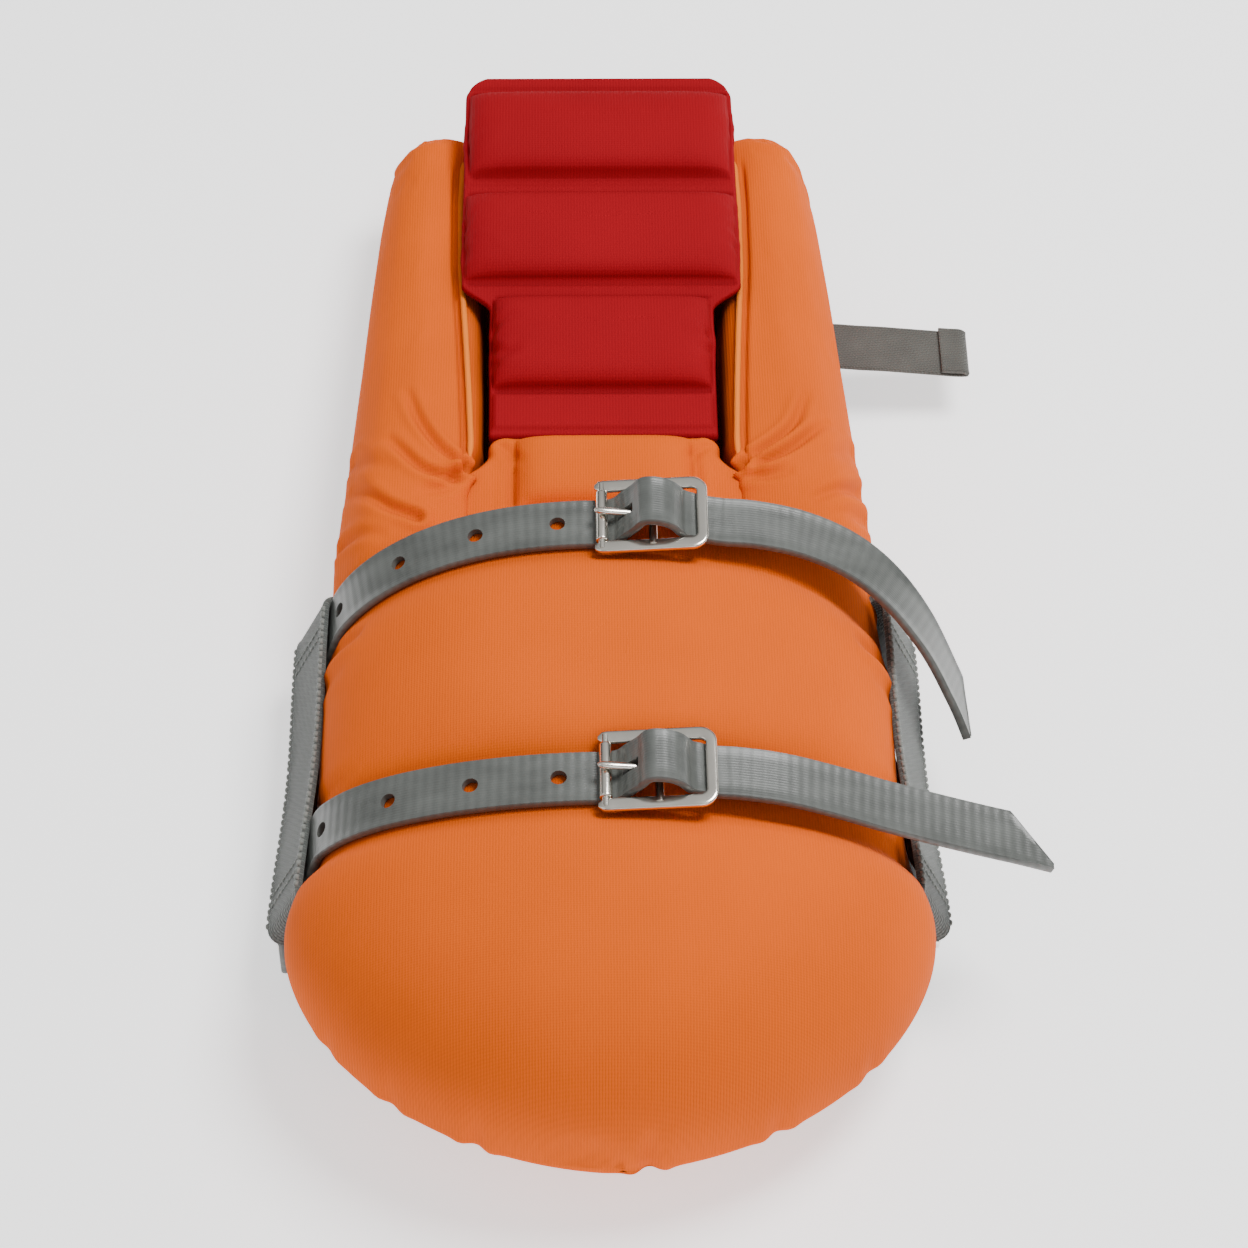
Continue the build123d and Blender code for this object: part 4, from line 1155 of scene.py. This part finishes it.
def make_prong(ring, name):
    """Pin that rests on the roller, with an eye round the centre bar."""
    _, centre, _, across, _ = buckle_axes(ring)
    rest_z = ring.bar_z(ROLLER_X) + ROLLER_R + PRONG_HALF_T + PRONG_GAP
    way = np.array([ROLLER_X - BUCKLE_X, 0, rest_z - ring.bar_z(BUCKLE_X)])
    way /= np.linalg.norm(way)
    lift = np.cross(across, way)
    pin = oval_tube("pin", [centre + way * s for s, _, _ in PRONG_ROWS], across, lift,
                    [(w, t) for _, w, t in PRONG_ROWS], 20)
    cos, sin = around(20)
    rings = []
    for a in np.linspace(0, 2 * math.pi, 35, endpoint=False):
        spoke = math.cos(a) * way + math.sin(a) * lift
        rings.append(centre + spoke * (EYE_R + cos * EYE_HALF_T) + across * sin * EYE_HALF_WIDTH)
    prong = join(f"{name}_prong_pin", [pin, ring_loft("eye", rings, closed=True)])
    finish_piece(prong, "nickel")
    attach(prong, f"{name}_prong")
    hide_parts(f"{name}_buckle_prong")


# ---- Side webbing ----
def webbing_points(side):
    """Path of one webbing loop round both straps, and the direction across it."""
    upper, lower = np.array(UPPER.side(WEB_MID_Z)), np.array(LOWER.side(WEB_MID_Z))
    along = (lower - upper) / np.linalg.norm(lower - upper)
    out = np.cross([-SIDE_LEAN, 0, 1.0], along)
    out /= np.linalg.norm(out)
    tall = np.cross(along, out)
    reach = WEB_GAP + WEB_T / 2
    bend = np.linalg.norm(lower - upper) / 2 + WEB_END_ROOM - WEB_T / 2 - reach
    turn = [math.radians(a) for a in np.linspace(-90, 90, 9)]
    flat = [(x, -reach) for x in np.linspace(18 - bend, 2 - bend, 4)]
    flat += [(-bend - reach * math.cos(a), reach * math.sin(a)) for a in turn]
    flat += [(x, reach - 1.6 * math.cos(math.pi * x / (2 * bend)) ** 2)
             for x in np.linspace(6 - bend, bend - 6, 9)]
    flat += [(bend + reach * math.cos(a), -reach * math.sin(a)) for a in turn]
    flat += [(x, -reach) for x in np.linspace(bend - 2, bend - 18, 4)]
    points = [(upper + lower) / 2 + along * a + out * b for a, b in flat]
    return np.array(points) * (side, 1, 1), tall * (side, 1, 1)


DASH_ROWS = [(-0.5, 0.3), (-0.35, 0.9), (0, 1.0), (0.35, 0.9), (0.5, 0.3)]  # (place, size)


def web_threads(side, points, tall):
    """Short raised stitches: rows across each end seam, and an overlocked line on each edge."""
    path = curve_through(points, 600)
    _, across, normal = path_frames(path, tall)
    out = normal * np.sign(normal[300, 0] * side)
    lengths = run_lengths(path)

    def dash(at, offset, length, along_strip, radius):
        i = min(max(int(np.searchsorted(lengths, at)), 1), len(path) - 2)
        run = path[i + 1] - path[i - 1]
        way = run / np.linalg.norm(run) if along_strip else across[i]
        centre = path[i] + across[i] * offset + out[i] * (WEB_T / 2 + 0.1)
        centres = [centre + way * t * length - out[i] * 0.35 * radius * (2 * t) ** 2
                   for t, _ in DASH_ROWS]
        return oval_tube("dash", centres, normal[i], np.cross(way, normal[i]),
                         [(radius * w, radius * w) for _, w in DASH_ROWS], 8)

    end, half = lengths[-1], WEB_WIDTH / 2
    threads = [dash(at, offset, 2.4, False, 0.4)
               for at in (36.0, 40.0, end - 36.0, end - 40.0)
               for offset in np.arange(2.5 - half, half - 2, 2.9)]
    threads += [dash(at + RNG.uniform(-0.25, 0.25), edge * (half - 0.3), 2.1, True, 0.75)
                for at in np.arange(30.0, end - 30.0, 2.5) for edge in (-1, 1)]
    return threads


def make_side_webbing(side, name):
    points, tall = webbing_points(side)
    band = strip(name, points, WEB_WIDTH, WEB_T, 190, bead=0.25, hint=tall)
    finish_piece(band, "webbing_grey")
    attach(band, "pad_body")
    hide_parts(f"{name.split('_')[0]}_side_webbing")
    stitches = join(f"{name}_stitches", web_threads(side, points, tall))
    finish_piece(stitches, "webbing_grey", THREAD_GREY)
    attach(stitches, "pad_body")


# ---- Ankle strap ----
ANKLE_Y, ANKLE_Z, ANKLE_WIDTH, ANKLE_T = 139.0, 21.3, 20.0, 1.5
ANKLE_ROOT_X, ANKLE_HINGE_X, ANKLE_TIP_X, ANKLE_DROOP, ANKLE_FOLD = 70.0, 80.3, 125.0, 6.0, 9.0


def make_ankle_strap():
    slope = math.tan(math.radians(ANKLE_DROOP))

    def at(x, lift=0.0):
        return (x, ANKLE_Y, ANKLE_Z - max(x - ANKLE_HINGE_X, 0) * slope + lift)

    tip = ANKLE_TIP_X
    points = [at(ANKLE_ROOT_X), at(75), at(ANKLE_HINGE_X), at(88), at(96, 0.2), at(104, 0.1),
              at(112), at(tip - 2), at(tip, 0.55), at(tip - 1.5, 1.6), at(tip - 5, 1.6),
              at(tip - ANKLE_FOLD, 1.6)]
    obj = strip("ankle_elastic", points, ANKLE_WIDTH, ANKLE_T * 0.9, 120, bead=0.05)
    finish_piece(obj, "dark_strap")
    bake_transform(obj)
    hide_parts("ankle_strap_root", "ankle_strap_tail")


# ---- The pad ----
KEPT = {"sole_shell": "sole_rubber", "sole_tread": "sole_rubber", "strap_rivets": "nickel",
        "rivet_washers": "nickel"}
for node, finish in KEPT.items():
    set_material(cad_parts[node], MATERIALS[finish])

make_liner()
make_knee_cushion()
make_side(1, "right_side_cushion", "right_wing")
make_side(-1, "left_side_cushion", "left_wing")
make_wing_piping(1, "right_wing_piping")
make_wing_piping(-1, "left_wing_piping")
make_tab()
make_shin_pad()
for ring_name, strap_ring in RINGS.items():
    make_buckled_strap(strap_ring, ring_name)
    make_anchor_strap(strap_ring, ring_name)
    make_buckle_frame(strap_ring, ring_name)
    make_roller(strap_ring, ring_name)
    make_prong(strap_ring, ring_name)
make_side_webbing(1, "right_web_band")
make_side_webbing(-1, "left_web_band")
make_ankle_strap()


# ---- Studio ----
STAGE_CENTRE = Vector((0, 0, 0.040))
FLOOR_REACH = 4000


def make_floor():
    corners = [(x * FLOOR_REACH, y * FLOOR_REACH, 0) for x, y in ((-1, -1), (1, -1), (1, 1), (-1, 1))]
    floor = new_object("floor", corners, [(0, 1, 2, 3)])
    floor.location.z = CAD_BOX[0][2] - 0.0002
    shader = Shader("white_floor", (0.93, 0.93, 0.93), 0.9, Emission_Strength=1.1,
                    Emission_Color=(1, 1, 1, 1))
    shader.bump(shader.noise(30, 2), 0.0001, 0.1)
    set_material(floor, shader.material)


def make_light(name, place, size, power):
    data = bpy.data.lights.new(name, "AREA")
    data.shape = "DISK"
    data.size = size
    data.energy = power
    light = link_object(name, data)
    light.location = place
    light.rotation_euler = (STAGE_CENTRE - Vector(place)).to_track_quat("-Z", "Y").to_euler()


def make_world():
    """Even pale surroundings, darker below the horizon so that metal has contrast."""
    world = bpy.data.worlds.new("studio")
    world.use_nodes = True
    nodes, link = world.node_tree.nodes, world.node_tree.links.new
    background = nodes["Background"]
    background.inputs["Strength"].default_value = 0.5
    split, tone = nodes.new("ShaderNodeSeparateXYZ"), nodes.new("ShaderNodeValToRGB")
    for stop, at, grey in zip(tone.color_ramp.elements, (0.15, 0.75), (0.05, 1)):
        stop.position = at
        stop.color = (grey, grey, grey, 1)
    link(nodes.new("ShaderNodeTexCoord").outputs["Generated"], split.inputs[0])
    link(split.outputs["Z"], tone.inputs["Fac"])
    link(tone.outputs["Color"], background.inputs["Color"])
    bpy.context.scene.world = world


def make_camera():
    elevation, swing, roll = (math.radians(angle) for angle in (53.0, 1.35, 0.8))
    distance = 1.1
    back = Vector((-math.cos(elevation) * math.sin(swing), -math.cos(elevation) * math.cos(swing),
                   math.sin(elevation)))
    data = bpy.data.cameras.new("camera")
    data.sensor_width = 36.0
    data.lens = 101.5
    data.shift_x, data.shift_y = 0.0144, 0.0128
    data.clip_start, data.clip_end = 0.05, 20
    camera = link_object("camera", data)
    turn = back.to_track_quat("Z", "Y").to_matrix().to_4x4()
    place = Matrix.Translation(STAGE_CENTRE + back * distance)
    camera.matrix_world = place @ turn @ Matrix.Rotation(roll, 4, "Z")
    bpy.context.scene.camera = camera


make_floor()
make_light("key", (0.5, 0.25, 1.3), 0.6, 22)
make_light("fill", (-1.1, -0.3, 1.0), 1.2, 2)
make_light("front", (0.3, -1.3, 1.0), 1.0, 3)
make_world()
make_camera()
